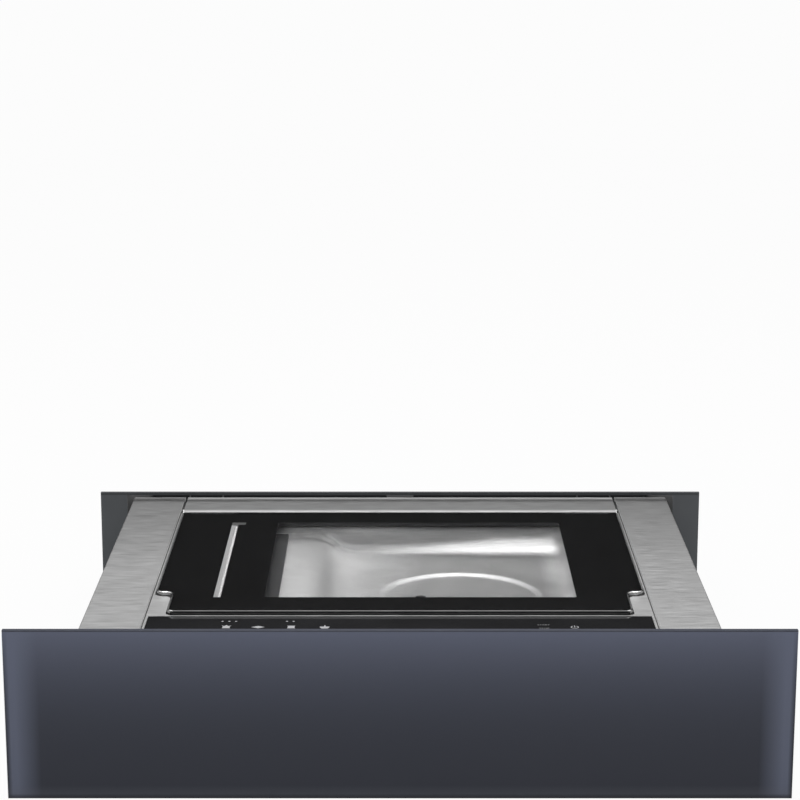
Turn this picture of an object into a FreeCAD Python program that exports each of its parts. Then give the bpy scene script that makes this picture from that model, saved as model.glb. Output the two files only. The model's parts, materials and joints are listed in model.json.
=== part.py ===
import FreeCAD, Part
import math
import os
import re

import Sketcher

# Vacuum sealing drawer, built-in, 60 cm wide, shown with the drawer pulled out to its stop.
# Millimetres. X runs across, Y from the front panel to the rear, Z up.
# The origin is the middle of the housing's front edge, on its underside.

SIZES = {
    # Housing: folded sheet, open at the top behind a narrow front bar
    "housing_width": 556.0,
    "housing_tail": 30.0,
    "housing_sheet": 1.2,
    "flange_width": 24.5,
    "top_bar_height": 2.4,
    "top_bar_depth": 4.0,
    "top_bar_gap": 0.9,
    "rear_lip": 10.0,
    "foot_fold": 18.0,
    "foot_setback": 10.0,
    "rivet_radius": 2.0,
    "rivet_head_radius": 3.5,
    "rivet_head": 1.0,
    "rivet_start": 60.0,
    "rivet_pitch": 155.0,
    "base_hole_radius": 2.4,
    "base_hole_inset": 128.0,
    "base_hole_front": 120.0,
    "base_hole_pitch": 240.0,
    "side_hole_radius": 2.4,
    "side_hole_setback": 30.0,
    "side_hole_low": 40.0,
    "side_hole_pitch": 55.0,
    # Telescopic runners under the drawer, three nested channels on balls
    "drawer_travel": 400.0,
    "runner_inset": 32.6,
    "runner_overlap": 3.0,
    "runner_width": 38.0,
    "runner_height": 14.0,
    "runner_sheet": 1.5,
    "runner_start": 2.0,
    "runner_play": 0.5,
    "ball_track": 3.5,
    "ball_play": 0.1,
    "cage_sheet": 0.8,
    "cage_height": 5.0,
    "cage_length": 180.0,
    "cage_end": 8.0,
    # Push latch on the base and its striker under the drawer
    "latch_width": 30.0,
    "latch_length": 18.0,
    "latch_height": 10.0,
    "latch_stroke": 5.0,
    "latch_gap": 0.3,
    "plunger_radius": 3.0,
    "plunger_tip_radius": 4.0,
    "plunger_tip": 2.0,
    "plunger_guide": 12.0,
    "plunger_play": 0.05,
    "striker_width": 24.0,
    "striker_foot": 12.0,
    "striker_drop": 13.0,
    # Front panel: glass bonded to a folded carrier
    "panel_lift": 0.5,
    "panel_overhang": 20.5,
    "panel_rise": 6.8,
    "panel_glass": 4.5,
    "panel_edge": 0.5,
    "panel_gap": 3.0,
    "bond": 1.0,
    "bond_width": 40.0,
    "bond_inset": 30.0,
    "carrier_rise": 10.0,
    "carrier_overhang": 2.0,
    "carrier_fall": 13.0,
    "carrier_depth": 11.5,
    "carrier_sheet": 1.2,
    "carrier_lip": 12.0,
    "spacer_width": 40.0,
    "spacer_inset": 110.0,
    "spacer_height": 60.0,
    "screw_radius": 2.0,
    "screw_play": 0.15,
    "screw_head_radius": 4.0,
    "screw_head": 2.4,
    "screw_grip": 8.0,
    "screw_pitch": 40.0,
    "screw_headroom": 3.5,
    "buffer_radius": 4.5,
    "buffer_gap": 0.3,
    "buffer_low": 24.0,
    "buffer_pitch": 64.0,
    # Drawer body: pan, stainless side rails, crossbars and the lid's surround
    "deck_height": 121.5,
    "drawer_side_gap": 30.4,
    "drawer_tail": 7.5,
    "steel": 1.2,
    "rail_width": 48.0,
    "rail_skirt": 25.2,
    "rail_lip": 3.2,
    "rail_bend": 1.0,
    "pan_gap": 0.2,
    "pan_lift": 2.0,
    "pan_tail": 1.5,
    "pan_rear_drop": 19.1,
    "crossbar_width": 16.0,
    "crossbar_height": 20.0,
    "crossbar_gap": 6.8,
    "surround_gap": 0.4,
    "surround_edge": 3.2,
    "surround_rear": 46.0,
    "surround_leg": 2.5,
    "moat": 1.6,
    "front_lip": 2.7,
    # Lid: thick glass on a black frame, hinged at the rear
    "lid_setback": 54.8,
    "control_strip_depth": 57.9,
    "lid_glass_thickness": 6.0,
    "lid_rise": 3.2,
    "lid_edge": 0.6,
    "lid_corner": 5.0,
    "notch_width": 13.5,
    "notch_length": 49.0,
    "notch_corner": 6.0,
    "lid_frame_thickness": 3.0,
    "frame_inset": 3.0,
    "window_inset_left": 59.0,
    "window_inset_right": 14.0,
    "window_inset_rear": 7.0,
    "window_inset_front": 16.3,
    "window_corner": 2.0,
    "slot_reach_left": 3.0,
    "slot_reach_right": 12.0,
    "gasket_width": 6.0,
    "gasket_margin": 5.0,
    "gasket_gap": 0.3,
    "gasket_height": 2.9,
    "counter_width": 6.0,
    "counter_height": 3.7,
    "counter_clip": 10.0,
    "hinge_setback": 20.0,
    "hinge_drop": 8.0,
    "pin_radius": 4.0,
    "pin_play": 0.05,
    "pin_seat_play": 0.02,
    "pin_length": 68.0,
    "cover_front": 44.0,
    "cover_gap": 2.2,
    "cover_lip": 8.0,
    "arm_width": 40.0,
    "arm_inset": 49.6,
    "arm_boss": 6.5,
    "hinge_block_width": 22.0,
    "hinge_block_depth": 28.0,
    "hinge_block_height": 17.0,
    "hinge_block_gap": 0.4,
    # Chamber: one deep drawn basin with a raised ledge at the left
    "chamber_corner": 28.0,
    "chamber_depth": 22.7,
    "chamber_draft": 14.0,
    "chamber_fillet": 5.0,
    "chamber_fillet_right": 20.0,
    "chamber_edge_left": 28.0,
    "chamber_edge_right": 40.0,
    "chamber_edge_front": 22.8,
    "chamber_edge_rear": 22.2,
    "ledge_depth": 8.0,
    "ledge_width": 87.0,
    "ramp_width": 43.0,
    "dish_share_across": 0.3,
    "dish_share_along": 0.0515,
    "dish_shift_across": 8.3,
    "dish_front_gap": 36.0,
    "dish_depth": 2.2,
    "dish_slope": 6.0,
    "dish_fillet": 8.0,
    "suction_shift": 2.1,
    "suction_gap": 7.0,
    "suction_radius": 4.5,
    "nipple_wall": 1.5,
    "nipple_length": 12.0,
    "nipple_flange": 9.0,
    # Seal bar, its carrier on the ledge and its two lifters
    "carrier_plate_inset": 7.0,
    "carrier_plate_gap": 7.0,
    "carrier_plate_reach": 68.5,
    "carrier_plate_thickness": 3.5,
    "carrier_plate_corner": 22.0,
    "seal_width": 9.0,
    "seal_inset": 19.0,
    "seal_height": 13.5,
    "seal_rise": 1.5,
    "seal_travel": 4.0,
    "seal_play": 0.7,
    "seal_end_inset": 15.0,
    "strip_width": 6.0,
    "strip_thickness": 1.2,
    "trough_play": 3.5,
    "trough_floor_gap": 2.0,
    "lift_rod_radius": 4.0,
    "lift_rod_play": 0.05,
    "lift_rod_length": 24.0,
    "lift_cylinder_radius": 12.0,
    "lift_cylinder_length": 31.0,
    "lift_pitch": 125.0,
    # Control strip in front of the lid
    "control_glass_thickness": 3.0,
    "control_inset": 2.2,
    "control_gap": 0.4,
    "tray_wall": 2.0,
    "tray_depth": 21.5,
    "tray_flange": 1.2,
    "tray_recess": 0.6,
    "board_thickness": 1.6,
    "board_lift": 6.0,
    "control_board_margin": 52.0,
    "control_board_depth": 34.0,
    "post_radius": 3.0,
    "touch_pad_radius": 4.0,
    "touch_pad_pitch": 34.0,
    # Pump group, valves, transformer and boards on the pan's floor
    "pump_plate_thickness": 2.0,
    "pump_mount_height": 6.0,
    "pump_mount_radius": 8.0,
    "pump_plate_width": 180.0,
    "pump_plate_depth": 120.0,
    "pump_across": 60.0,
    "pump_setback": 170.0,
    "pump_headroom": 5.0,
    "motor_drop": 1.0,
    "pump_width": 80.0,
    "pump_depth": 90.0,
    "pump_fin_depth": 4.0,
    "pump_fin_pitch": 9.0,
    "motor_length": 92.0,
    "valve_width": 60.0,
    "valve_depth": 36.0,
    "valve_height": 42.0,
    "valve_gap": 8.0,
    "solenoid_radius": 11.0,
    "hose_radius": 4.5,
    "hose_bore": 3.0,
    "hose_level": 28.0,
    "transformer_width": 78.0,
    "transformer_depth": 60.0,
    "transformer_headroom": 10.9,
    "transformer_inset": 67.6,
    "transformer_gap": 50.0,
    "coil_width": 46.0,
    "coil_depth": 84.0,
    "coil_height": 34.0,
    "power_board_width": 150.0,
    "power_board_depth": 60.0,
    "power_board_inset": 97.6,
    "power_board_setback": 36.0,
    "capacitor_radius": 9.0,
    "capacitor_height": 26.0,
    "relay_size": 18.0,
    "gland_across": 60.0,
    "gland_height": 48.0,
    "gland_bore": 4.0,
    "gland_radius": 7.0,
    "gland_nut_radius": 11.0,
    "gland_nut": 6.0,
    "gland_length": 14.0,
}

# Sizes that follow from the ones above
FOLLOWING = {
    "housing_depth": "drawer_travel + housing_tail",
    "housing_height": "deck_height + lid_rise + top_bar_gap + top_bar_height",
    "base_hole_spread": "housing_width - 2 * base_hole_inset",
    "drawer_width": "housing_width - 2 * drawer_side_gap",
    "runner_spread": "drawer_width / 2 - runner_inset",
    "runner_length": "drawer_travel + runner_overlap",
    "panel_width": "housing_width + 2 * panel_overhang",
    "panel_height": "housing_height + panel_rise - panel_lift",
    "carrier_width": "housing_width + 2 * carrier_overhang",
    "carrier_height": "panel_height - carrier_rise - carrier_fall",
    "bond_spread": "carrier_width / 2 - bond_inset",
    "spacer_spread": "carrier_width / 2 - spacer_inset",
    "screw_level": "deck_height - control_glass_thickness - tray_depth - screw_headroom - screw_head_radius"
    " - screw_pitch / 2",
    "spacer_rise": "screw_level - spacer_height / 2 - panel_lift - carrier_rise",
    "pan_floor_level": "housing_sheet + runner_height + pan_lift + steel",
    "rim_level": "deck_height + lid_rise - lid_glass_thickness - lid_frame_thickness - gasket_height - gasket_gap",
    "basin_under_level": "rim_level - chamber_depth - dish_depth - steel",
    "pan_rear_height": "deck_height - hinge_drop - pan_rear_drop - pan_floor_level",
    "lid_width": "drawer_width - 2 * (rail_width + surround_gap + surround_edge)",
    "lid_length": "drawer_travel + panel_gap - control_strip_depth - moat - front_lip - lid_setback",
    "chamber_left": "lid_width / 2 - chamber_edge_left",
    "chamber_right": "lid_width / 2 - chamber_edge_right",
    "chamber_front": "lid_setback + lid_length - chamber_edge_front",
    "chamber_rear": "lid_setback + chamber_edge_rear",
    "ledge_edge": "chamber_left - ledge_width",
    "ramp_foot": "ledge_edge - ramp_width",
    "dish_radius": "(chamber_right + ramp_foot) * dish_share_across + (chamber_front - chamber_rear) * dish_share_along",
    "dish_across": "(chamber_right - ramp_foot) / 2 - dish_shift_across",
    "dish_setback": "chamber_front - dish_radius - dish_front_gap",
    "suction_across": "dish_across - dish_radius / 2 + suction_shift",
    "window_left": "chamber_left - window_inset_left",
    "window_right": "chamber_right - window_inset_right",
    "window_rear": "chamber_rear + window_inset_rear",
    "window_front": "chamber_front - window_inset_front",
    "seal_across": "chamber_left - seal_inset",
    "slot_left": "seal_across + slot_reach_left",
    "slot_right": "seal_across - slot_reach_right",
    "carrier_plate_left": "chamber_left - carrier_plate_gap",
    "carrier_plate_right": "chamber_left - carrier_plate_reach",
    "arm_spread": "drawer_width / 2 - rail_width - arm_inset",
    "control_board_width": "lid_width - control_board_margin",
    "pump_height": "basin_under_level - pump_headroom - pan_floor_level - pump_mount_height - pump_plate_thickness",
    "motor_radius": "(pump_height - motor_drop) / 2",
    "suction_setback": "pump_setback + motor_radius + suction_gap",
    "solenoid_height": "basin_under_level - pump_headroom - pan_floor_level - valve_height",
    "transformer_height": "rim_level - steel - crossbar_height - transformer_headroom - pan_floor_level",
    "transformer_across": "drawer_width / 2 - transformer_inset",
    "transformer_setback": "drawer_travel - transformer_gap",
    "power_board_across": "drawer_width / 2 - power_board_inset",
}

doc = FreeCAD.newDocument("VacuumSealingDrawer")
sheet = doc.addObject("Spreadsheet::Sheet", "Sizes")
cells = {alias: str(number) for alias, number in SIZES.items()}
cells.update({alias: "=" + text for alias, text in FOLLOWING.items()})
for row, (alias, content) in enumerate(cells.items(), start=1):
    sheet.set("A%d" % row, alias)
    sheet.set("B%d" % row, content)
    sheet.setAlias("B%d" % row, alias)
doc.recompute()

# Planes that several pieces share, as formulas of the driving sizes
FLANGE_TOP = "(housing_height - top_bar_height)"
RUNNER_TOP = "(housing_sheet + runner_height)"
MIDDLE_HALF = "(runner_width / 2 - runner_sheet - ball_track)"
INNER_HALF = "(runner_width / 2 - 2 * runner_sheet - 2 * ball_track)"
MIDDLE_FLOOR = "(housing_sheet + runner_sheet + runner_play)"
PAN_FLOOR = "(housing_sheet + runner_height + pan_lift)"
PAN_INSIDE = "pan_floor_level"
PAN_HALF = "(drawer_width / 2 - steel - pan_gap)"
PAN_REAR = "(drawer_tail - pan_tail)"
PANEL_BACK = "(0 - drawer_travel - panel_gap)"
CARRIER_FRONT = "(0 - drawer_travel - panel_gap - carrier_depth)"
GLASS_BACK = "(0 - drawer_travel - panel_gap - carrier_depth - bond)"
DECK_UNDER = "(deck_height - steel)"
RAIL_INNER = "(drawer_width / 2 - rail_width)"
LID_TOP = "(deck_height + lid_rise)"
GLASS_UNDER = "(deck_height + lid_rise - lid_glass_thickness)"
FRAME_UNDER = "(deck_height + lid_rise - lid_glass_thickness - lid_frame_thickness)"
RIM = "rim_level"
FLANGE_UNDER = f"({RIM} - steel)"
LID_FRONT = "(0 - lid_setback - lid_length)"
LIP_FRONT = "(0 - lid_setback - lid_length - moat - front_lip)"
SURROUND_HALF = "(drawer_width / 2 - rail_width - surround_gap)"
CONTROL_HALF = "(drawer_width / 2 - rail_width - surround_gap - control_inset)"
HINGE_LEVEL = "(deck_height - hinge_drop)"
COUNTER_UNDER = "(deck_height + lid_rise - lid_glass_thickness - counter_height)"
STRIP_TOP = f"({COUNTER_UNDER} - gasket_gap - seal_travel)"
SEAL_TOP = f"({STRIP_TOP} - strip_thickness)"
SEAL_FOOT = f"({STRIP_TOP} - strip_thickness - seal_height)"
TROUGH_FLOOR = f"({SEAL_FOOT} - trough_floor_gap)"
SEAL_FRONT = "(0 - chamber_front + seal_end_inset)"
SEAL_LENGTH = "(chamber_front - chamber_rear - 2 * seal_end_inset)"
TRAY_FLOOR = "(deck_height - control_glass_thickness - tray_depth)"
PLATE_LEVEL = f"({PAN_INSIDE} + pump_mount_height)"
PUMP_FLOOR = f"({PAN_INSIDE} + pump_mount_height + pump_plate_thickness)"
VALVE_SETBACK = "(pump_setback + pump_plate_depth / 2 + valve_gap + valve_depth / 2)"

WORD = re.compile(r"[a-z][a-z_]+")
kept = []


def formula(text):
    """Point each size named in a formula at its cell of the sheet."""
    return WORD.sub(lambda found: "Sizes." + found.group() if found.group() in cells else found.group(), str(text))


def bind(thing, path, text):
    thing.setExpression(path, formula(text))


def keep(thing, label):
    """Name a finished sub-part and list it for the export."""
    thing.Label = label
    kept.append(thing)
    return thing


# Part primitives and booleans with every size bound to the sheet

def block(name, low, span):
    """A box from its lowest corner and its three edge lengths."""
    piece = doc.addObject("Part::Box", name)
    for axis, text in zip("xyz", low):
        bind(piece, "Placement.Base." + axis, text)
    for edge, text in zip(("Length", "Width", "Height"), span):
        bind(piece, edge, text)
    return piece


AXIS_TURNS = {
    "x": FreeCAD.Rotation(FreeCAD.Vector(0, 1, 0), 90),
    "y": FreeCAD.Rotation(FreeCAD.Vector(1, 0, 0), -90),
    "z": FreeCAD.Rotation(),
}


def rod(name, axis, start, radius, length):
    """A round bar from its start point along +x, +y or +z."""
    piece = doc.addObject("Part::Cylinder", name)
    piece.Placement = FreeCAD.Placement(FreeCAD.Vector(), AXIS_TURNS[axis])
    for letter, text in zip("xyz", start):
        bind(piece, "Placement.Base." + letter, text)
    bind(piece, "Radius", radius)
    bind(piece, "Height", length)
    return piece


def ball(name, centre, radius):
    piece = doc.addObject("Part::Sphere", name)
    for letter, text in zip("xyz", centre):
        bind(piece, "Placement.Base." + letter, text)
    bind(piece, "Radius", radius)
    return piece


def fuse(name, pieces):
    joined = doc.addObject("Part::MultiFuse", name)
    joined.Shapes = pieces
    joined.Refine = True
    return joined


def cut(name, base, tools):
    tool = tools[0] if len(tools) == 1 else fuse(name + "_tools", tools)
    result = doc.addObject("Part::Cut", name)
    result.Base = base
    result.Tool = tool
    return result


def group(name, pieces):
    """Separate solids that share one node."""
    compound = doc.addObject("Part::Compound", name)
    compound.Links = pieces
    return compound


def mirrored(name, source):
    """The same piece on the other side of the drawer's middle plane."""
    twin = doc.addObject("Part::Mirroring", name)
    twin.Source = source
    twin.Base = (0, 0, 0)
    twin.Normal = (1, 0, 0)
    return twin


# PartDesign bodies: closed outlines with bound corners, padded and pocketed.
# Before its corners are bound, an outline starts on this circle and a hole on this row.
START_CIRCLE = 100
START_ROW = 30
START_HOLE = 3

def origin_plane(body, role):
    return next(plane for plane in body.Origin.OriginFeatures if plane.Role == role)


def outline(body, name, role, points, lift):
    """A closed polygon whose corners are formulas, on an origin plane moved by lift."""
    sketch = body.newObject("Sketcher::SketchObject", name)
    sketch.AttachmentSupport = [(origin_plane(body, role), "")]
    sketch.MapMode = "FlatFace"
    bind(sketch, "AttachmentOffset.Base.z", lift)
    count = len(points)
    rough = [
        FreeCAD.Vector(math.cos(2 * math.pi * k / count), math.sin(2 * math.pi * k / count), 0) * START_CIRCLE
        for k in range(count)
    ]
    for k in range(count):
        sketch.addGeometry(Part.LineSegment(rough[k], rough[(k + 1) % count]), False)
    for k in range(count):
        sketch.addConstraint(Sketcher.Constraint("Coincident", k, 2, (k + 1) % count, 1))
    for k, point in enumerate(points):
        for kind, start, text in zip(("DistanceX", "DistanceY"), (rough[k].x, rough[k].y), point):
            index = sketch.addConstraint(Sketcher.Constraint(kind, -1, 1, k, 1, start))
            bind(sketch, "Constraints[%d]" % index, text)
    return sketch


def circles(body, name, role, centres, radius, lift):
    """Round holes of one radius, each centre given by two formulas."""
    sketch = body.newObject("Sketcher::SketchObject", name)
    sketch.AttachmentSupport = [(origin_plane(body, role), "")]
    sketch.MapMode = "FlatFace"
    bind(sketch, "AttachmentOffset.Base.z", lift)
    for k, centre in enumerate(centres):
        rough = FreeCAD.Vector(START_ROW * (k + 1), START_ROW, 0)
        sketch.addGeometry(Part.Circle(rough, FreeCAD.Vector(0, 0, 1), START_HOLE), False)
        for kind, start, text in zip(("DistanceX", "DistanceY"), (rough.x, rough.y), centre):
            index = sketch.addConstraint(Sketcher.Constraint(kind, -1, 1, k, 3, start))
            bind(sketch, "Constraints[%d]" % index, text)
        index = sketch.addConstraint(Sketcher.Constraint("Radius", k, START_HOLE))
        bind(sketch, "Constraints[%d]" % index, radius)
    return sketch


def rectangle(left, low, right, high):
    return [(left, low), (right, low), (right, high), (left, high)]


def pad(body, name, sketch, length):
    feature = body.newObject("PartDesign::Pad", name)
    feature.Profile = sketch
    bind(feature, "Length", length)
    return feature


def pad_up(body, name, points, low, height):
    """Material over an XY outline, from the level low upwards."""
    return pad(body, name, outline(body, name + "_outline", "XY_Plane", points, low), height)


def pad_back(body, name, points, front, depth):
    """Material over an XZ outline, from the plane Y = front towards the rear."""
    return pad(body, name, outline(body, name + "_outline", "XZ_Plane", points, f"0 - ({front}) - ({depth})"), depth)


def pad_right(body, name, points, left, width):
    """Material over a YZ outline, from the plane X = left towards +X."""
    return pad(body, name, outline(body, name + "_outline", "YZ_Plane", points, left), width)


def pocket(body, name, sketch, depth=None, towards_normal=False):
    """Cut a sketch out, right through or to a depth, and make sure that it removes material."""
    doc.recompute()
    before = body.Shape.Volume
    feature = body.newObject("PartDesign::Pocket", name)
    feature.Profile = sketch
    if depth is None:
        feature.Type = "ThroughAll"
        feature.Midplane = True
    else:
        bind(feature, "Length", depth)
        feature.Reversed = towards_normal
    doc.recompute()
    if feature.Shape.isNull() or not feature.Shape.Volume < before:
        raise RuntimeError(body.Name + ": " + name + " removes nothing")
    return feature


def edges_along(shape, direction, test=None):
    """Names of the straight edges parallel to a direction, filtered by their midpoint."""
    names = []
    for number, edge in enumerate(shape.Edges, start=1):
        if edge.Curve.TypeId != "Part::GeomLine":
            continue
        along = edge.tangentAt(edge.FirstParameter)
        middle = edge.valueAt((edge.FirstParameter + edge.LastParameter) / 2)
        if along.cross(direction).Length < 1e-6 and (test is None or test(middle)):
            names.append("Edge%d" % number)
    return names


def soften(body, kind, name, base, names, size):
    """A fillet or a chamfer on named edges of the feature before it."""
    feature = body.newObject("PartDesign::" + kind, name)
    feature.Base = (base, names)
    bind(feature, "Radius" if kind == "Fillet" else "Size", size)
    doc.recompute()
    return feature


UP = FreeCAD.Vector(0, 0, 1)
ACROSS = FreeCAD.Vector(1, 0, 0)
BACK = FreeCAD.Vector(0, 1, 0)


class Numbers:
    """The sheet's numbers, for the shapes that no feature makes."""

    def __getattr__(self, alias):
        return float(sheet.get(alias))


size = Numbers()


def body_named(name):
    return doc.addObject("PartDesign::Body", name)


# Housing

def rivet_places(side=""):
    """Centres of the rivets along one foot fold, as across and along formulas."""
    return [
        (f"{side}(housing_width / 2 - foot_fold / 2)", f"rivet_start + {number} * rivet_pitch")
        for number in range(3)
    ]


def base_tray():
    body = body_named("base_tray")
    half = "housing_width / 2"
    pad_up(body, "floor", rectangle("0 - " + half, "0", half, "housing_depth"), "0", "housing_sheet")
    inner = "(housing_width / 2 - housing_sheet)"
    pad_up(
        body,
        "rear_upstand",
        rectangle("0 - " + inner, "housing_depth - housing_sheet", inner, "housing_depth"),
        "housing_sheet",
        "rear_lip - housing_sheet",
    )
    centres = [
        (across, along)
        for across in ("0 - base_hole_spread / 2", "base_hole_spread / 2")
        for along in ("base_hole_front", "base_hole_front + base_hole_pitch")
    ]
    pocket(body, "base_holes", circles(body, "base_hole_circles", "XY_Plane", centres, "base_hole_radius", "0"))
    rivets = rivet_places() + rivet_places("0 - ")
    pocket(body, "rivet_holes", circles(body, "rivet_hole_circles", "XY_Plane", rivets, "rivet_radius", "0"))
    return keep(body, "base_tray")


def side_plates():
    body = body_named("side_plate_right")
    outer = "housing_width / 2"
    wall = [
        ("0", "housing_sheet"),
        ("housing_depth", "housing_sheet"),
        ("housing_depth", "rear_lip"),
        ("top_bar_depth", FLANGE_TOP),
        ("0", FLANGE_TOP),
    ]
    pad_right(body, "wall", wall, outer + " - housing_sheet", "housing_sheet")
    flange = rectangle(outer + " - flange_width", "housing_sheet", outer + " - housing_sheet", FLANGE_TOP)
    pad_back(body, "flange", flange, "0", "housing_sheet")
    foot = rectangle(
        outer + " - foot_fold",
        "foot_setback",
        outer + " - housing_sheet",
        "housing_depth - foot_setback",
    )
    pad_up(body, "foot", foot, "housing_sheet", "housing_sheet")
    holes = [
        ("side_hole_setback", "side_hole_low"),
        ("side_hole_setback", "side_hole_low + side_hole_pitch"),
    ]
    pocket(body, "side_holes", circles(body, "side_hole_circles", "YZ_Plane", holes, "side_hole_radius", "0"))
    rivets = circles(body, "rivet_hole_circles", "XY_Plane", rivet_places(), "rivet_radius", "0")
    pocket(body, "rivet_holes", rivets)
    keep(body, "side_plate_right")
    return keep(mirrored("side_plate_left_mirror", body), "side_plate_left")


def housing_rivets():
    rivets = []
    for number, (across, along) in enumerate(rivet_places() + rivet_places("0 - ")):
        shank = rod(f"rivet_shank_{number}", "z", (across, along, "0"), "rivet_radius", "2 * housing_sheet")
        head = rod(
            f"rivet_head_{number}", "z", (across, along, "2 * housing_sheet"), "rivet_head_radius", "rivet_head"
        )
        rivets.append(fuse(f"rivet_{number}", [shank, head]))
    return keep(group("housing_rivets_group", rivets), "housing_rivets")


def top_bar():
    low = ("0 - housing_width / 2", "0", FLANGE_TOP)
    return keep(block("top_bar_block", low, ("housing_width", "top_bar_depth", "top_bar_height")), "top_bar")


# Runners

def channel(half, low, high, wall):
    """A U section open at the top, centred on the runner."""
    left = f"runner_spread - {half}"
    right = f"runner_spread + {half}"
    return [
        (left, low),
        (right, low),
        (right, high),
        (f"{right} - {wall}", high),
        (f"{right} - {wall}", f"{low} + {wall}"),
        (f"{left} + {wall}", f"{low} + {wall}"),
        (f"{left} + {wall}", high),
        (left, high),
    ]


def ball_rows(name, offset, start):
    """Two rows of balls in their cage strips, one on each side of a channel."""
    solids = []
    count = 5
    radius = "(ball_track - ball_play) / 2"
    level = f"({MIDDLE_FLOOR} + runner_height / 2)"
    for side, sign in (("a", "-"), ("b", "+")):
        middle = f"(runner_spread {sign} {offset})"
        strip = block(
            f"{name}_{side}_strip",
            (f"{middle} - cage_sheet / 2", start, f"{level} - cage_height / 2"),
            ("cage_sheet", "cage_length", "cage_height"),
        )
        windows = []
        for k in range(count):
            along = f"{start} + cage_length * {k + 0.5} / {count}"
            hole = rod(
                f"{name}_{side}_window_{k}",
                "x",
                (f"{middle} - cage_sheet", along, level),
                f"{radius} + ball_play",
                "2 * cage_sheet",
            )
            windows.append(hole)
            solids.append(ball(f"{name}_{side}_ball_{k}", (middle, along, level), radius))
        solids.append(cut(f"{name}_{side}_cage", strip, windows))
    return solids


def runners():
    fixed = body_named("runner_fixed_right")
    pad_back(
        fixed,
        "channel",
        channel("runner_width / 2", "housing_sheet", RUNNER_TOP, "runner_sheet"),
        "runner_start",
        "runner_length",
    )
    middle = body_named("runner_middle_right")
    pad_back(
        middle,
        "channel",
        channel(MIDDLE_HALF, MIDDLE_FLOOR, f"({RUNNER_TOP} - runner_play)", "runner_sheet"),
        "runner_start - drawer_travel / 2",
        "runner_length",
    )
    inner = body_named("runner_inner_right")
    low = f"({MIDDLE_FLOOR} + runner_sheet + runner_play)"
    left = f"runner_spread - {INNER_HALF}"
    right = f"runner_spread + {INNER_HALF}"
    section = [
        (left, low),
        (f"{left} + runner_sheet", low),
        (f"{left} + runner_sheet", f"{PAN_FLOOR} - runner_sheet"),
        (f"{right} - runner_sheet", f"{PAN_FLOOR} - runner_sheet"),
        (f"{right} - runner_sheet", low),
        (right, low),
        (right, PAN_FLOOR),
        (left, PAN_FLOOR),
    ]
    pad_back(inner, "channel", section, "runner_start - drawer_travel", "runner_length")
    outer_rows = ball_rows("outer_row", f"({MIDDLE_HALF} + ball_track / 2)", "(runner_start + cage_end)")
    inner_start = "(runner_start - drawer_travel / 2 + cage_end)"
    inner_rows = ball_rows("inner_row", f"({INNER_HALF} + ball_track / 2)", inner_start)
    cages = group("ball_cage_right_group", outer_rows + inner_rows)
    for part, label in ((fixed, "runner_fixed"), (middle, "runner_middle"), (inner, "runner_inner")):
        keep(part, label + "_right")
        keep(mirrored(label + "_left_mirror", part), label + "_left")
    keep(cages, "ball_cage_right")
    keep(mirrored("ball_cage_left_mirror", cages), "ball_cage_left")


# Push latch

def push_latch():
    axis_level = "(housing_sheet + latch_height / 2)"
    tip = "(drawer_travel + steel + latch_gap)"
    face = f"({tip} + plunger_tip + latch_stroke + latch_gap)"
    case = block(
        "latch_case",
        ("0 - latch_width / 2", face, "housing_sheet"),
        ("latch_width", "latch_length", "latch_height"),
    )
    depth = "(plunger_guide + latch_stroke + latch_gap)"
    bore = rod("latch_bore", "y", ("0", face, axis_level), "plunger_radius + plunger_play", depth)
    keep(cut("latch_body_cut", case, [bore]), "latch_body")
    stem = rod(
        "plunger_stem",
        "y",
        ("0", tip, axis_level),
        "plunger_radius",
        "plunger_tip + latch_stroke + latch_gap + plunger_guide",
    )
    head = rod("plunger_head", "y", ("0", tip, axis_level), "plunger_tip_radius", "plunger_tip")
    keep(fuse("latch_plunger_fuse", [stem, head]), "latch_plunger")
    tab = block(
        "striker_tab",
        ("0 - striker_width / 2", "0", f"{PAN_FLOOR} - striker_drop"),
        ("striker_width", "steel", "striker_drop"),
    )
    foot = block(
        "striker_foot_block",
        ("0 - striker_width / 2", "0 - striker_foot", f"{PAN_FLOOR} - steel"),
        ("striker_width", "striker_foot", "steel"),
    )
    keep(fuse("latch_striker_fuse", [tab, foot]), "latch_striker")


# Front panel

def front_glass():
    body = body_named("front_glass")
    half = "panel_width / 2"
    face = rectangle("0 - " + half, "panel_lift", half, "panel_lift + panel_height")
    slab = pad_back(body, "slab", face, f"{GLASS_BACK} - panel_glass", "panel_glass")
    doc.recompute()
    front = -size.drawer_travel - size.panel_gap - size.carrier_depth - size.bond - size.panel_glass

    def on_front(point):
        return abs(point.y - front) < 1e-3

    names = edges_along(slab.Shape, ACROSS, on_front) + edges_along(slab.Shape, UP, on_front)
    soften(body, "Chamfer", "polished_edge", slab, names, "panel_edge")
    return keep(body, "front_glass")


def glass_bond():
    low = "(panel_lift + carrier_rise + carrier_lip)"
    strips = [
        block(
            "bond_strip_" + side,
            (f"{centre} - bond_width / 2", GLASS_BACK, low),
            ("bond_width", "bond", "carrier_height - 2 * carrier_lip"),
        )
        for side, centre in (("left", "0 - bond_spread"), ("right", "bond_spread"))
    ]
    return keep(group("glass_bond_group", strips), "glass_bond")


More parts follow.
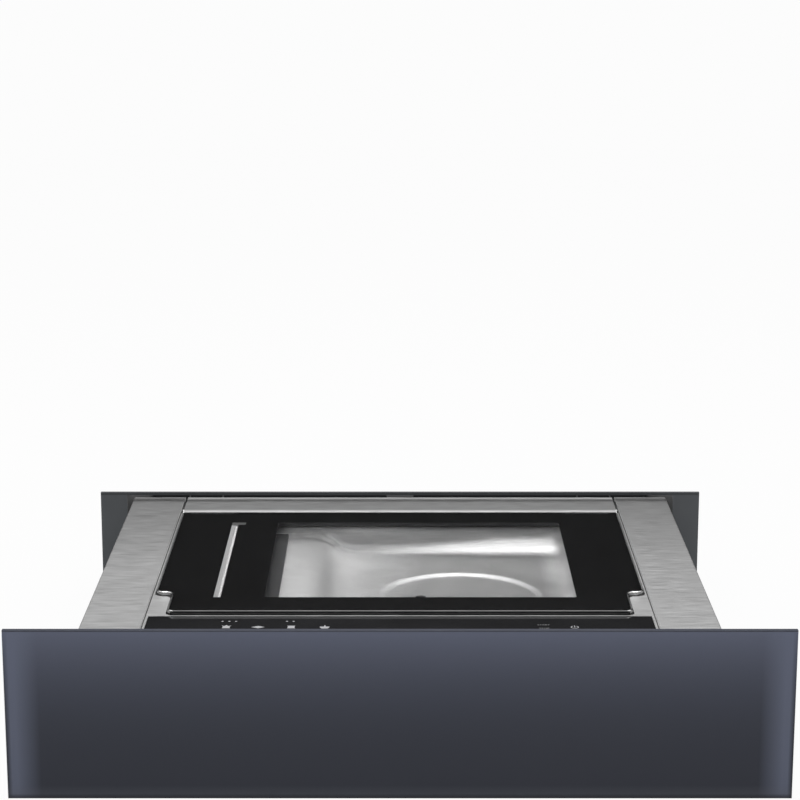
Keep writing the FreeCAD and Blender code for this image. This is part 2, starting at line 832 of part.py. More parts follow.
def front_carrier():
    body = body_named("front_carrier")
    half = "(carrier_width / 2)"
    low = "(panel_lift + carrier_rise)"
    high = "(panel_lift + carrier_rise + carrier_height)"
    pad_back(body, "case", rectangle(f"0 - {half}", low, half, high), CARRIER_FRONT, "carrier_depth")

    def inset(margin):
        return rectangle(f"0 - {half} + {margin}", f"{low} + {margin}", f"{half} - {margin}", f"{high} - {margin}")

    opening = outline(body, "opening_outline", "XZ_Plane", inset("carrier_lip"), f"0 - {PANEL_BACK}")
    pocket(body, "opening", opening, "carrier_depth - carrier_sheet", towards_normal=True)
    hollow = outline(body, "hollow_outline", "XZ_Plane", inset("carrier_sheet"), f"0 - {PANEL_BACK} + carrier_sheet")
    pocket(body, "hollow", hollow, "carrier_depth - 2 * carrier_sheet", towards_normal=True)
    return keep(body, "front_carrier")


def screw_places():
    """Where the panel screws go, as across and height formulas."""
    return [
        (across, f"screw_level {sign} screw_pitch / 2")
        for across in ("0 - spacer_spread", "spacer_spread")
        for sign in ("-", "+")
    ]


def panel_spacers():
    low = "(panel_lift + carrier_rise + spacer_rise)"
    blocks = []
    for side, centre in (("left", "0 - spacer_spread"), ("right", "spacer_spread")):
        raw = block(
            "spacer_block_" + side,
            (f"{centre} - spacer_width / 2", f"{CARRIER_FRONT} + carrier_sheet", low),
            ("spacer_width", "carrier_depth - carrier_sheet", "spacer_height"),
        )
        holes = [
            rod(
                f"spacer_hole_{side}_{number}",
                "y",
                (across, f"{PANEL_BACK} - screw_grip - screw_play", height),
                "screw_radius + screw_play",
                "2 * screw_grip",
            )
            for number, (across, height) in enumerate(screw_places())
            if across == centre
        ]
        blocks.append(cut("spacer_" + side, raw, holes))
    return keep(group("panel_spacers_group", blocks), "panel_spacers")


def panel_screws():
    screws = []
    for number, (across, height) in enumerate(screw_places()):
        shank = rod(
            f"panel_screw_shank_{number}",
            "y",
            (across, f"{PANEL_BACK} - screw_grip", height),
            "screw_radius",
            "screw_grip + steel",
        )
        head = rod(
            f"panel_screw_head_{number}",
            "y",
            (across, f"{PANEL_BACK} + steel", height),
            "screw_head_radius",
            "screw_head",
        )
        screws.append(fuse(f"panel_screw_{number}", [shank, head]))
    return keep(group("panel_screws_group", screws), "panel_screws")


def panel_buffers():
    across = "(carrier_width / 2 - carrier_lip / 2)"
    low = "(panel_lift + carrier_rise + buffer_low)"
    buffers = [
        rod(
            f"buffer_{side}_{number}",
            "y",
            (centre, PANEL_BACK, f"{low} + {number} * buffer_pitch"),
            "buffer_radius",
            "panel_gap - buffer_gap",
        )
        for side, centre in (("left", f"0 - {across}"), ("right", across))
        for number in range(2)
    ]
    return keep(group("panel_buffers_group", buffers), "panel_buffers")


# Drawer body

def drawer_pan():
    body = body_named("drawer_pan")
    shell = rectangle(f"0 - {PAN_HALF}", PANEL_BACK, PAN_HALF, PAN_REAR)
    pad_up(body, "case", shell, PAN_FLOOR, f"{DECK_UNDER} - {PAN_FLOOR}")
    inside = rectangle(
        f"0 - {PAN_HALF} + steel",
        f"{PANEL_BACK} + steel",
        f"{PAN_HALF} - steel",
        f"{PAN_REAR} - steel",
    )
    hollow = outline(body, "hollow_outline", "XY_Plane", inside, PAN_INSIDE)
    pocket(body, "hollow", hollow, f"{DECK_UNDER} - {PAN_INSIDE}", towards_normal=True)
    inner = f"({PAN_HALF} - steel)"
    front_step = rectangle(f"0 - {inner}", FLANGE_UNDER, inner, DECK_UNDER)
    step = outline(body, "front_step_outline", "XZ_Plane", front_step, f"0 - {PANEL_BACK}")
    pocket(body, "front_step", step, "steel")
    rear_step = rectangle(f"0 - {inner}", f"{PAN_INSIDE} + pan_rear_height", inner, DECK_UNDER)
    step = outline(body, "rear_step_outline", "XZ_Plane", rear_step, f"0 - {PAN_REAR}")
    pocket(body, "rear_step", step, "steel", towards_normal=True)
    screw_holes = circles(
        body, "screw_hole_circles", "XZ_Plane", screw_places(), "screw_radius + screw_play", f"0 - {PANEL_BACK}"
    )
    pocket(body, "screw_holes", screw_holes, "steel")
    gland_hole = circles(
        body, "gland_hole_circle", "XZ_Plane", [("gland_across", "gland_height")], "gland_radius", f"0 - {PAN_REAR}"
    )
    pocket(body, "gland_hole", gland_hole, "steel", towards_normal=True)
    return keep(body, "drawer_pan")


def side_rails():
    body = body_named("side_rail_right")
    outer = "(drawer_width / 2)"
    section = [
        (RAIL_INNER, "deck_height - rail_lip"),
        (f"{RAIL_INNER} + steel", "deck_height - rail_lip"),
        (f"{RAIL_INNER} + steel", DECK_UNDER),
        (f"{outer} - steel", DECK_UNDER),
        (f"{outer} - steel", "deck_height - rail_skirt"),
        (outer, "deck_height - rail_skirt"),
        (outer, "deck_height"),
        (RAIL_INNER, "deck_height"),
    ]
    folded = pad_back(body, "folded_sheet", section, PANEL_BACK, f"drawer_tail - {PANEL_BACK}")
    doc.recompute()
    edge = size.drawer_width / 2

    def outer_bend(point):
        return abs(point.x - edge) < 1e-3 and abs(point.z - size.deck_height) < 1e-3

    names = edges_along(folded.Shape, BACK, outer_bend)
    soften(body, "Fillet", "outer_bend", folded, names, "rail_bend")
    keep(body, "side_rail_right")
    return keep(mirrored("side_rail_left_mirror", body), "side_rail_left")


def crossbars():
    """Two folded channels between the pan's walls, which carry the basin's rim."""
    inner = f"({PAN_HALF} - steel)"
    places = (
        ("crossbar_front", "(0 - chamber_front - steel - crossbar_gap - crossbar_width)"),
        ("crossbar_rear", "(0 - chamber_rear + steel + crossbar_gap)"),
    )
    for label, front in places:
        body = body_named(label)
        low = f"({FLANGE_UNDER} - crossbar_height)"
        back = f"{front} + crossbar_width"
        section = [
            (front, low),
            (f"{front} + steel", low),
            (f"{front} + steel", f"{FLANGE_UNDER} - steel"),
            (f"{back} - steel", f"{FLANGE_UNDER} - steel"),
            (f"{back} - steel", low),
            (back, low),
            (back, FLANGE_UNDER),
            (front, FLANGE_UNDER),
        ]
        pad_right(body, "channel", section, f"0 - {inner}", f"2 * {inner}")
        keep(body, label)


def lid_outline(grow):
    """The lid's plan with its two notched front corners, grown or shrunk by a margin."""
    full = f"(lid_width / 2 + {grow})"
    narrow = f"(lid_width / 2 - notch_width + {grow})"
    rear = f"(0 - lid_setback + {grow})"
    front = f"({LID_FRONT} - {grow})"
    notch = f"({LID_FRONT} + notch_length - {grow})"
    return [
        (f"0 - {full}", rear),
        (f"0 - {full}", notch),
        (f"0 - {narrow}", notch),
        (f"0 - {narrow}", front),
        (narrow, front),
        (narrow, notch),
        (full, notch),
        (full, rear),
    ]


def round_lid_corners(body, name, base, low, high, grow):
    """Round the notched outline's upright edges between two levels."""
    steps = [size.lid_width / 2 + grow, size.lid_width / 2 - size.notch_width + grow]
    front = -size.lid_setback - size.lid_length - grow
    notch = front + size.notch_length
    notch_corners = [(steps[0], notch), (steps[1], notch)]
    front_corners = [(steps[1], front)]

    def at(places):
        def test(point):
            inside = low - 1e-3 < point.z < high + 1e-3
            return inside and any(math.hypot(abs(point.x) - x, point.y - y) < 1e-3 for x, y in places)

        return test

    names = edges_along(base.Shape, UP, at(notch_corners))
    base = soften(body, "Fillet", name + "_notches", base, names, "notch_corner")
    names = edges_along(base.Shape, UP, at(front_corners))
    return soften(body, "Fillet", name + "_front", base, names, "lid_corner")


def lid_surround():
    body = body_named("lid_surround")
    front = f"({PANEL_BACK} + gasket_gap)"
    outer = rectangle(f"0 - {SURROUND_HALF}", front, SURROUND_HALF, "0 - surround_rear")
    pad_up(body, "frame", outer, RIM, f"deck_height - {RIM}")
    lid_hole = outline(body, "lid_hole_outline", "XY_Plane", lid_outline("moat"), RIM)
    opened = pocket(body, "lid_hole", lid_hole)
    low = size.deck_height - size.chamber_depth
    round_lid_corners(body, "lid_hole", opened, low, size.deck_height, size.moat)
    control = rectangle(f"0 - {CONTROL_HALF}", f"{front} + steel", CONTROL_HALF, LIP_FRONT)
    pocket(body, "control_hole", outline(body, "control_hole_outline", "XY_Plane", control, RIM))
    leg = rectangle(
        "0 - lid_width / 2 - moat",
        "0 - lid_setback",
        "lid_width / 2 + moat",
        "0 - surround_rear",
    )
    lowered = outline(body, "low_leg_outline", "XY_Plane", leg, f"{RIM} + surround_leg")
    pocket(body, "low_leg", lowered, f"deck_height - {RIM}", towards_normal=True)
    narrow = "(lid_width / 2 - notch_width + moat + steel)"
    corner_low = f"({LIP_FRONT} + steel)"
    corner_high = f"({LID_FRONT} + notch_length - moat - steel)"
    outer_face = f"({SURROUND_HALF} - steel)"
    for side, left, right in (("right", narrow, outer_face), ("left", f"0 - {outer_face}", f"0 - {narrow}")):
        hollow = outline(
            body, f"corner_{side}_outline", "XY_Plane", rectangle(left, corner_low, right, corner_high), RIM
        )
        pocket(body, f"corner_{side}", hollow, f"{DECK_UNDER} - {RIM}", towards_normal=True)
    return keep(body, "lid_surround")


# Chamber

def drafted_box(left, right, front, rear, low, high, corner, slope):
    """A block with rounded corners whose walls lean inwards towards its bottom."""
    lean = (high - low) * slope
    block_shape = Part.makeWedge(
        left, -high, front, front + lean, left + lean, right, -low, rear, rear - lean, right - lean
    )
    block_shape.rotate(FreeCAD.Vector(), FreeCAD.Vector(1, 0, 0), -90)
    corners = [edge for edge in block_shape.Edges if edge.BoundBox.ZLength > (high - low) / 2]
    return block_shape.makeFillet(corner, corners)


def graded_fillet(shape, name, radii):
    """The shape with its numbered edges rounded, each from its first radius to its last."""
    raw = doc.addObject("Part::Feature", name + "_raw")
    raw.Shape = shape
    rounded = doc.addObject("Part::Fillet", name)
    rounded.Base = raw
    rounded.Edges = radii
    doc.recompute()
    if rounded.Shape.isNull() or not rounded.Shape.isValid():
        raise RuntimeError(name + ": the fillet along the bottom failed")
    result = rounded.Shape.copy()
    doc.removeObject(rounded.Name)
    doc.removeObject(raw.Name)
    return result


def basin_space(rim, grow):
    """The drawn basin's inside, or its outside when grown by the sheet's thickness."""
    slope = math.tan(math.radians(size.chamber_draft))
    spread = grow * math.hypot(1, slope)
    left = -size.chamber_left - spread
    right = size.chamber_right + spread
    front = -size.chamber_front - spread
    rear = -size.chamber_rear + spread
    floor = rim - size.chamber_depth - grow
    ledge = rim - size.ledge_depth - grow
    space = drafted_box(left, right, front, rear, floor, rim, size.chamber_corner + grow, slope)
    drop = ledge - floor
    run = size.ramp_foot - size.ledge_edge
    middle_x = -size.ledge_edge - run / 2
    radius = (run * run / 4 + drop * drop / 4) / drop
    turn = math.atan2(-run / 2, radius - drop / 2)
    crest = FreeCAD.Vector(
        -size.ledge_edge + radius * math.sin(turn / 2), 0, ledge - radius * (1 - math.cos(turn / 2))
    )
    heel = FreeCAD.Vector(
        -size.ramp_foot - radius * math.sin(turn / 2), 0, floor + radius * (1 - math.cos(turn / 2))
    )
    centre = FreeCAD.Vector(middle_x, 0, (ledge + floor) / 2)
    brow = FreeCAD.Vector(-size.ledge_edge, 0, ledge)
    foot = FreeCAD.Vector(-size.ramp_foot, 0, floor)
    deep = floor - size.ledge_depth
    far = left - size.ledge_depth
    section = Part.Wire(
        [
            Part.LineSegment(FreeCAD.Vector(far, 0, deep), FreeCAD.Vector(far, 0, ledge)).toShape(),
            Part.LineSegment(FreeCAD.Vector(far, 0, ledge), brow).toShape(),
            Part.Arc(brow, crest, centre).toShape(),
            Part.Arc(centre, heel, foot).toShape(),
            Part.LineSegment(foot, FreeCAD.Vector(foot.x, 0, deep)).toShape(),
            Part.LineSegment(FreeCAD.Vector(foot.x, 0, deep), FreeCAD.Vector(far, 0, deep)).toShape(),
        ]
    )
    length = rear - front + 2 * size.ledge_depth
    step = Part.Face(section).extrude(FreeCAD.Vector(0, length, 0))
    step.translate(FreeCAD.Vector(0, front - size.ledge_depth, 0))
    space = space.cut(step).removeSplitter()
    swell = size.chamber_fillet_right - size.chamber_fillet
    stretch = size.chamber_right - size.chamber_corner + size.ramp_foot

    def radius_at(point):
        along = min(max((point.x + size.ramp_foot) / stretch, 0), 1)
        return size.chamber_fillet + grow + swell * along

    radii = []
    for number, edge in enumerate(space.Edges, start=1):
        first = edge.valueAt(edge.FirstParameter)
        last = edge.valueAt(edge.LastParameter)
        reaches_rim = edge.BoundBox.ZMax > rim - 1e-3
        on_ramp = -size.ledge_edge - 1e-3 < first.x < 1e-3 - size.ramp_foot
        crosses_floor = on_ramp and abs(first.x - last.x) < 1e-3
        if not reaches_rim and not crosses_floor:
            radii.append((number, radius_at(first), radius_at(last)))
    space = graded_fillet(space, "basin_space", radii)
    dish = Part.makeCone(
        size.dish_radius - size.dish_slope,
        size.dish_radius,
        size.dish_depth,
        FreeCAD.Vector(size.dish_across, -size.dish_setback, floor - size.dish_depth),
    )
    space = space.fuse(dish).removeSplitter()
    rings = [
        edge
        for edge in space.Edges
        if edge.Curve.TypeId == "Part::GeomCircle" and edge.Curve.Radius > size.dish_radius - size.dish_slope - 1e-3
    ]
    return space.makeFillet(size.dish_fillet, rings)


def seal_levels():
    """Levels of the rim, the seal bar's foot and the trough's floor."""
    rim = size.rim_level
    counter = size.deck_height + size.lid_rise - size.lid_glass_thickness - size.counter_height
    foot = counter - size.gasket_gap - size.seal_travel - size.strip_thickness - size.seal_height
    return rim, foot, foot - size.trough_floor_gap


def trough_box(rim, floor, grow):
    """The narrow well in the ledge that the seal bar sinks into."""
    half = size.seal_width / 2 + size.trough_play + grow
    front = -size.chamber_front + size.seal_end_inset - size.trough_play - grow
    length = size.chamber_front - size.chamber_rear - 2 * size.seal_end_inset + 2 * (size.trough_play + grow)
    low = floor - grow
    return Part.makeBox(
        2 * half, length, rim - low, FreeCAD.Vector(-size.seal_across - half, front, low)
    )


def lift_places():
    middle = -(size.chamber_front + size.chamber_rear) / 2
    return [middle - size.lift_pitch / 2, middle + size.lift_pitch / 2]


def chamber_basin():
    rim, foot, trough = seal_levels()
    half = size.drawer_width / 2 - size.rail_width - size.surround_gap
    front = -size.lid_setback - size.lid_length - size.moat - size.front_lip
    rim_plate = Part.makeBox(
        2 * half, -size.surround_rear - front, size.steel, FreeCAD.Vector(-half, front, rim - size.steel)
    )
    outside = basin_space(rim, size.steel).fuse(trough_box(rim - size.steel, trough, size.steel))
    inside = basin_space(rim, 0.0).fuse(trough_box(rim - size.steel, trough, 0.0))
    shell = rim_plate.fuse(outside).cut(inside)
    floor = size.basin_under_level
    suction = Part.makeCylinder(
        size.suction_radius,
        2 * size.chamber_depth,
        FreeCAD.Vector(size.suction_across, -size.suction_setback, floor - size.chamber_depth),
    )
    shell = shell.cut(suction)
    for along in lift_places():
        guide = Part.makeCylinder(
            size.lift_rod_radius + size.lift_rod_play,
            4 * size.steel,
            FreeCAD.Vector(-size.seal_across, along, trough - 2 * size.steel),
        )
        shell = shell.cut(guide)
    basin = doc.addObject("Part::Feature", "chamber_basin_shape")
    basin.Shape = shell.removeSplitter()
    basin.Placement = FreeCAD.Placement()
    return keep(basin, "chamber_basin")


def suction_nipple():
    under = "basin_under_level"
    inside = "suction_radius"
    place = ("suction_across", "0 - suction_setback")
    tube = rod("nipple_tube", "z", (*place, f"{under} - nipple_length"), f"{inside} + nipple_wall", "nipple_length")
    collar = rod("nipple_collar", "z", (*place, f"{under} - nipple_wall"), "nipple_flange", "nipple_wall")
    bore = rod("nipple_bore", "z", (*place, f"{under} - 2 * nipple_length"), inside, "4 * nipple_length")
    return keep(cut("suction_nipple_cut", fuse("nipple_solid", [tube, collar]), [bore]), "suction_nipple")


# Seal bar

def seal_carrier():
    body = body_named("seal_carrier")
    plate = rectangle(
        "0 - carrier_plate_left",
        "0 - chamber_front + carrier_plate_inset",
        "0 - carrier_plate_right",
        "0 - chamber_rear - carrier_plate_inset",
    )
    ledge = f"({RIM} - ledge_depth)"
    base = pad_up(body, "plate", plate, ledge, "carrier_plate_thickness")
    doc.recompute()
    names = edges_along(base.Shape, UP, lambda point: abs(point.x + size.carrier_plate_left) < 1e-3)
    soften(body, "Fillet", "outer_corners", base, names, "carrier_plate_corner")
    slot = rectangle(
        "0 - seal_across - seal_width / 2 - seal_play",
        f"{SEAL_FRONT} - seal_play",
        "0 - seal_across + seal_width / 2 + seal_play",
        f"{SEAL_FRONT} + {SEAL_LENGTH} + seal_play",
    )
    pocket(body, "bar_slot", outline(body, "bar_slot_outline", "XY_Plane", slot, ledge))
    return keep(body, "seal_carrier")


def seal_bar():
    left = "0 - seal_across - seal_width / 2"
    bar = block("seal_bar_block", (left, SEAL_FRONT, SEAL_FOOT), ("seal_width", SEAL_LENGTH, "seal_height"))
    keep(bar, "seal_bar")
    strip = block(
        "heating_strip_block",
        ("0 - seal_across - strip_width / 2", SEAL_FRONT, SEAL_TOP),
        ("strip_width", SEAL_LENGTH, "strip_thickness"),
    )
    keep(strip, "heating_strip")
    middle = "(0 - (chamber_front + chamber_rear) / 2)"
    rods = []
    cylinders = []
    for number, sign in enumerate(("-", "+")):
        place = ("0 - seal_across", f"{middle} {sign} lift_pitch / 2")
        rods.append(
            rod(
                f"lift_rod_{number}",
                "z",
                (*place, f"{SEAL_FOOT} - lift_rod_length"),
                "lift_rod_radius",
                "lift_rod_length",
            )
        )
        top = f"({TROUGH_FLOOR} - steel)"
        case = rod(
            f"lift_case_{number}",
            "z",
            (*place, f"{top} - lift_cylinder_length"),
            "lift_cylinder_radius",
            "lift_cylinder_length",
        )
        bore = rod(
            f"lift_bore_{number}",
            "z",
            (*place, f"{SEAL_FOOT} - lift_rod_length - 2 * gasket_gap"),
            "lift_rod_radius + lift_rod_play",
            "2 * lift_rod_length",
        )
        cylinders.append(cut(f"lift_cylinder_{number}", case, [bore]))
    keep(group("seal_lift_rods_group", rods), "seal_lift_rods")
    keep(group("seal_lift_cylinders_group", cylinders), "seal_lift_cylinders")


# Lid

def lid_glass():
    body = body_named("lid_glass")
    slab = pad_up(body, "slab", lid_outline("0"), GLASS_UNDER, "lid_glass_thickness")
    doc.recompute()
    low = size.deck_height + size.lid_rise - size.lid_glass_thickness
    rounded = round_lid_corners(body, "outline", slab, low, low + size.lid_glass_thickness, 0.0)
    top = low + size.lid_glass_thickness
    names = [
        "Edge%d" % number
        for number, edge in enumerate(rounded.Shape.Edges, start=1)
        if edge.BoundBox.ZMin > top - 1e-3
    ]
    soften(body, "Chamfer", "polished_edge", rounded, names, "lid_edge")
    return keep(body, "lid_glass")


def slot_rectangle():
    return rectangle("0 - slot_left", "0 - window_front", "0 - slot_right", "0 - window_rear")


def lid_frame():
    body = body_named("lid_frame")
    slab = pad_up(body, "slab", lid_outline("(0 - frame_inset)"), FRAME_UNDER, "lid_frame_thickness")
    doc.recompute()
    low = size.deck_height + size.lid_rise - size.lid_glass_thickness - size.lid_frame_thickness
    round_lid_corners(body, "outline", slab, low, low + size.lid_frame_thickness, -size.frame_inset)
    view = rectangle("0 - window_left", "0 - window_front", "window_right", "0 - window_rear")
    opened = pocket(body, "window", outline(body, "window_outline", "XY_Plane", view, FRAME_UNDER))

    def at_window(point):
        across = abs(point.x + size.window_left) < 1e-3 or abs(point.x - size.window_right) < 1e-3
        along = abs(point.y + size.window_front) < 1e-3 or abs(point.y + size.window_rear) < 1e-3
        return across and along

    soften(body, "Fillet", "window_corners", opened, edges_along(opened.Shape, UP, at_window), "window_corner")
    pocket(body, "slot", outline(body, "slot_outline", "XY_Plane", slot_rectangle(), FRAME_UNDER))
    return keep(body, "lid_frame")


def lid_gasket():
    body = body_named("lid_gasket")

    def ring(margin):
        return rectangle(
            f"0 - chamber_left - {margin}",
            f"0 - chamber_front - {margin}",
            f"chamber_right + {margin}",
            f"0 - chamber_rear + {margin}",
        )

    outer = "(gasket_margin + gasket_width)"
    pad_up(body, "slab", ring(outer), f"{FRAME_UNDER} - gasket_height", "gasket_height")
    hole = outline(body, "hole_outline", "XY_Plane", ring("gasket_margin"), f"{FRAME_UNDER} - gasket_height")
    opened = pocket(body, "hole", hole)

    def corner_at(margin):
        left = -size.chamber_left - margin
        right = size.chamber_right + margin
        return lambda point: abs(point.x - left) < 1e-3 or abs(point.x - right) < 1e-3

    names = edges_along(opened.Shape, UP, corner_at(size.gasket_margin))
    rounded = soften(body, "Fillet", "hole_corners", opened, names, "chamber_corner + gasket_margin")
    names = edges_along(rounded.Shape, UP, corner_at(size.gasket_margin + size.gasket_width))
    soften(body, "Fillet", "outer_corners", rounded, names, f"chamber_corner + {outer}")
    return keep(body, "lid_gasket")


def counter_bar():
    bar = block(
        "counter_bar_block",
        ("0 - slot_left", "0 - window_front", COUNTER_UNDER),
        ("counter_width", "window_front - window_rear - counter_clip", "counter_height"),
    )
    keep(bar, "counter_bar")
    clip = block(
        "counter_clip_block",
        ("0 - slot_left", "0 - window_rear - counter_clip", FRAME_UNDER),
        ("slot_left - slot_right", "counter_clip", "lid_frame_thickness"),
    )
    keep(clip, "counter_bar_clip")


def hinge_cover():
    body = body_named("hinge_cover")
    half = f"({RAIL_INNER} - cover_gap)"
    section = [
        ("0 - cover_front", DECK_UNDER),
        ("drawer_tail - steel", DECK_UNDER),
        ("drawer_tail - steel", "deck_height - cover_lip"),
        ("drawer_tail", "deck_height - cover_lip"),
        ("drawer_tail", "deck_height"),
        ("0 - cover_front", "deck_height"),
    ]
    folded = pad_right(body, "folded_sheet", section, f"0 - {half}", f"2 * {half}")
    doc.recompute()

    def top_edges(point):
        on_top = abs(point.z - size.deck_height) < 1e-3
        return on_top and (abs(point.y + size.cover_front) < 1e-3 or abs(point.y - size.drawer_tail) < 1e-3)

    names = edges_along(folded.Shape, ACROSS, top_edges)
    soften(body, "Fillet", "rolled_edges", folded, names, "rail_bend")
    return keep(body, "hinge_cover")


def hinge_arm(side, left):
    """A block under the cover, from the lid's frame to the pin."""
    body = body_named("hinge_arm_" + side)
    axis = "(0 - hinge_setback)"
    frame_rear = "(0 - lid_setback - frame_inset)"
    section = [
        (frame_rear, FRAME_UNDER),
        (frame_rear, GLASS_UNDER),
        ("0 - cover_front - steel", GLASS_UNDER),
        ("0 - cover_front + steel", DECK_UNDER),
        (f"{axis} + arm_boss", DECK_UNDER),
        (f"{axis} + arm_boss", HINGE_LEVEL),
        (f"{axis} - arm_boss", HINGE_LEVEL),
        (f"{axis} - 1.5 * arm_boss", FRAME_UNDER),
    ]
    pad_right(body, "web", section, left, "arm_width")
    boss = circles(body, "boss_circle", "YZ_Plane", [(axis, HINGE_LEVEL)], "arm_boss", left)
    pad(body, "boss", boss, "arm_width")
    bore = circles(body, "bore_circle", "YZ_Plane", [(axis, HINGE_LEVEL)], "pin_radius + pin_seat_play", left)
    pocket(body, "bore", bore)
    return body


def hinges():
    arms = [hinge_arm("left", "0 - arm_spread - arm_width"), hinge_arm("right", "arm_spread")]
    keep(group("hinge_arms_group", arms), "hinge_arms")
    pins = [
        rod(f"hinge_pin_{side}", "x", (start, "0 - hinge_setback", HINGE_LEVEL), "pin_radius", "pin_length")
        for side, start in (("left", "0 - arm_spread - pin_length"), ("right", "arm_spread"))
    ]
    keep(group("hinge_pins_group", pins), "hinge_pins")
    body = body_named("hinge_block_right")
    inner = f"({RAIL_INNER} + steel + hinge_block_gap)"
    face = rectangle(
        "0 - hinge_setback - hinge_block_depth / 2",
        f"{DECK_UNDER} - hinge_block_height",
        "0 - hinge_setback + hinge_block_depth / 2",
        DECK_UNDER,
    )
    pad_right(body, "case", face, inner, "hinge_block_width")
    bore = circles(
        body, "bore_circle", "YZ_Plane", [("0 - hinge_setback", HINGE_LEVEL)], "pin_radius + pin_play", inner
    )
    pocket(body, "bore", bore)
    keep(body, "hinge_block_right")
    keep(mirrored("hinge_block_left_mirror", body), "hinge_block_left")


# Control strip

def control_strip():
    front = f"({PANEL_BACK} + gasket_gap + steel)"
    glass_low = "(deck_height - control_glass_thickness)"
    glass = block(
        "control_glass_block",
        (f"0 - {CONTROL_HALF} + control_gap", f"{front} + control_gap", glass_low),
        (f"2 * {CONTROL_HALF} - 2 * control_gap", f"{LIP_FRONT} - {front} - 2 * control_gap", "control_glass_thickness"),
    )
    keep(glass, "control_glass")
    body = body_named("control_tray")
    half = f"({CONTROL_HALF} - control_gap - tray_recess)"
    low_y = f"({front} + control_gap + tray_recess)"
    high_y = f"({LIP_FRONT} - control_gap - tray_recess)"
    pad_up(body, "case", rectangle(f"0 - {half}", low_y, half, high_y), TRAY_FLOOR, "tray_depth")
    flange = rectangle(f"0 - {SURROUND_HALF}", f"{PANEL_BACK} + gasket_gap", SURROUND_HALF, high_y)
    pad_up(body, "flange", flange, FLANGE_UNDER, "tray_flange")
    inside = rectangle(
        f"0 - {half} + tray_wall", f"{low_y} + tray_wall", f"{half} - tray_wall", f"{high_y} - tray_wall"
    )
    hollow = outline(body, "hollow_outline", "XY_Plane", inside, f"{TRAY_FLOOR} + tray_wall")
    pocket(body, "hollow", hollow, "tray_depth", towards_normal=True)
    middle_y = f"(({low_y} + {high_y}) / 2)"
    posts = [
        (f"{sign_x} (control_board_width / 2 - 2 * post_radius)", f"{middle_y} {sign_y} control_board_depth / 4")
        for sign_x in ("0 -", "0 +")
        for sign_y in ("-", "+")
    ]
    pad(
        body,
        "posts",
        circles(body, "post_circles", "XY_Plane", posts, "post_radius", f"{TRAY_FLOOR} + tray_wall"),
        "board_lift",
    )
    keep(body, "control_tray")
    board_low = f"({TRAY_FLOOR} + tray_wall + board_lift)"
    board = block(
        "control_board_block",
        ("0 - control_board_width / 2", f"{middle_y} - control_board_depth / 2", board_low),
        ("control_board_width", "control_board_depth", "board_thickness"),
    )
    pads = [
        rod(
            f"touch_pad_{number}",
            "z",
            (f"{number - 3} * touch_pad_pitch", middle_y, f"{board_low} + board_thickness"),
            "touch_pad_radius",
            f"{glass_low} - {board_low} - board_thickness",
        )
        for number in range(7)
    ]
    keep(fuse("control_board_fuse", [board, *pads]), "control_board")


# Pump group

def pump_group():
    left = "(pump_across - pump_plate_width / 2)"
    front = "(0 - pump_setback - pump_plate_depth / 2)"
    plate = block(
        "pump_plate_block", (left, front, PLATE_LEVEL), ("pump_plate_width", "pump_plate_depth", "pump_plate_thickness")
    )
    keep(plate, "pump_plate")
    mounts = [
        rod(
            f"pump_mount_{number}",
            "z",
            (
                f"pump_across {sign_x} (pump_plate_width / 2 - 1.5 * pump_mount_radius)",
                f"0 - pump_setback {sign_y} (pump_plate_depth / 2 - 1.5 * pump_mount_radius)",
                PAN_INSIDE,
            ),
            "pump_mount_radius",
            "pump_mount_height",
        )
        for number, (sign_x, sign_y) in enumerate((("-", "-"), ("-", "+"), ("+", "-"), ("+", "+")))
    ]
    keep(group("pump_mounts_group", mounts), "pump_mounts")
    pump_left = "(pump_across + pump_plate_width / 2 - pump_width)"
    pump_front = "(0 - pump_setback - pump_depth / 2)"
    case = block("pump_case", (pump_left, pump_front, PUMP_FLOOR), ("pump_width", "pump_depth", "pump_height"))
    slots = []
    for number in range(7):
        slots.append(
            block(
                f"pump_slot_{number}",
                (
                    f"{pump_left} + pump_fin_pitch * {number + 1}",
                    f"{pump_front} - pump_fin_depth",
                    f"{PUMP_FLOOR} + pump_height - 2 * pump_fin_depth",
                ),
                ("pump_fin_pitch / 2", "pump_depth + 2 * pump_fin_depth", "4 * pump_fin_depth"),
            )
        )
    inlet_level = f"({PAN_INSIDE} + hose_level)"
    inlet = rod(
        "pump_inlet",
        "y",
        (f"{pump_left} + pump_width / 2", f"{pump_front} - pump_fin_depth", inlet_level),
        "hose_bore",
        "2 * pump_fin_depth",
    )
    finned = cut("pump_fins", case, slots)
    keep(cut("pump_body_cut", finned, [inlet]), "pump_body")
    motor = rod(
        "motor_case",
        "x",
        (f"{pump_left} - motor_length", "0 - pump_setback", f"{PUMP_FLOOR} + motor_radius"),
        "motor_radius",
        "motor_length",
    )
    terminal = block(
        "motor_terminal",
        (
            f"{pump_left} - motor_length / 2 - relay_size / 2",
            "0 - pump_setback + motor_radius - 3 * relay_size / 4",
            f"{PUMP_FLOOR} + motor_radius - relay_size / 2",
        ),
        ("relay_size", "relay_size", "relay_size"),
    )
    keep(fuse("pump_motor_fuse", [motor, terminal]), "pump_motor")


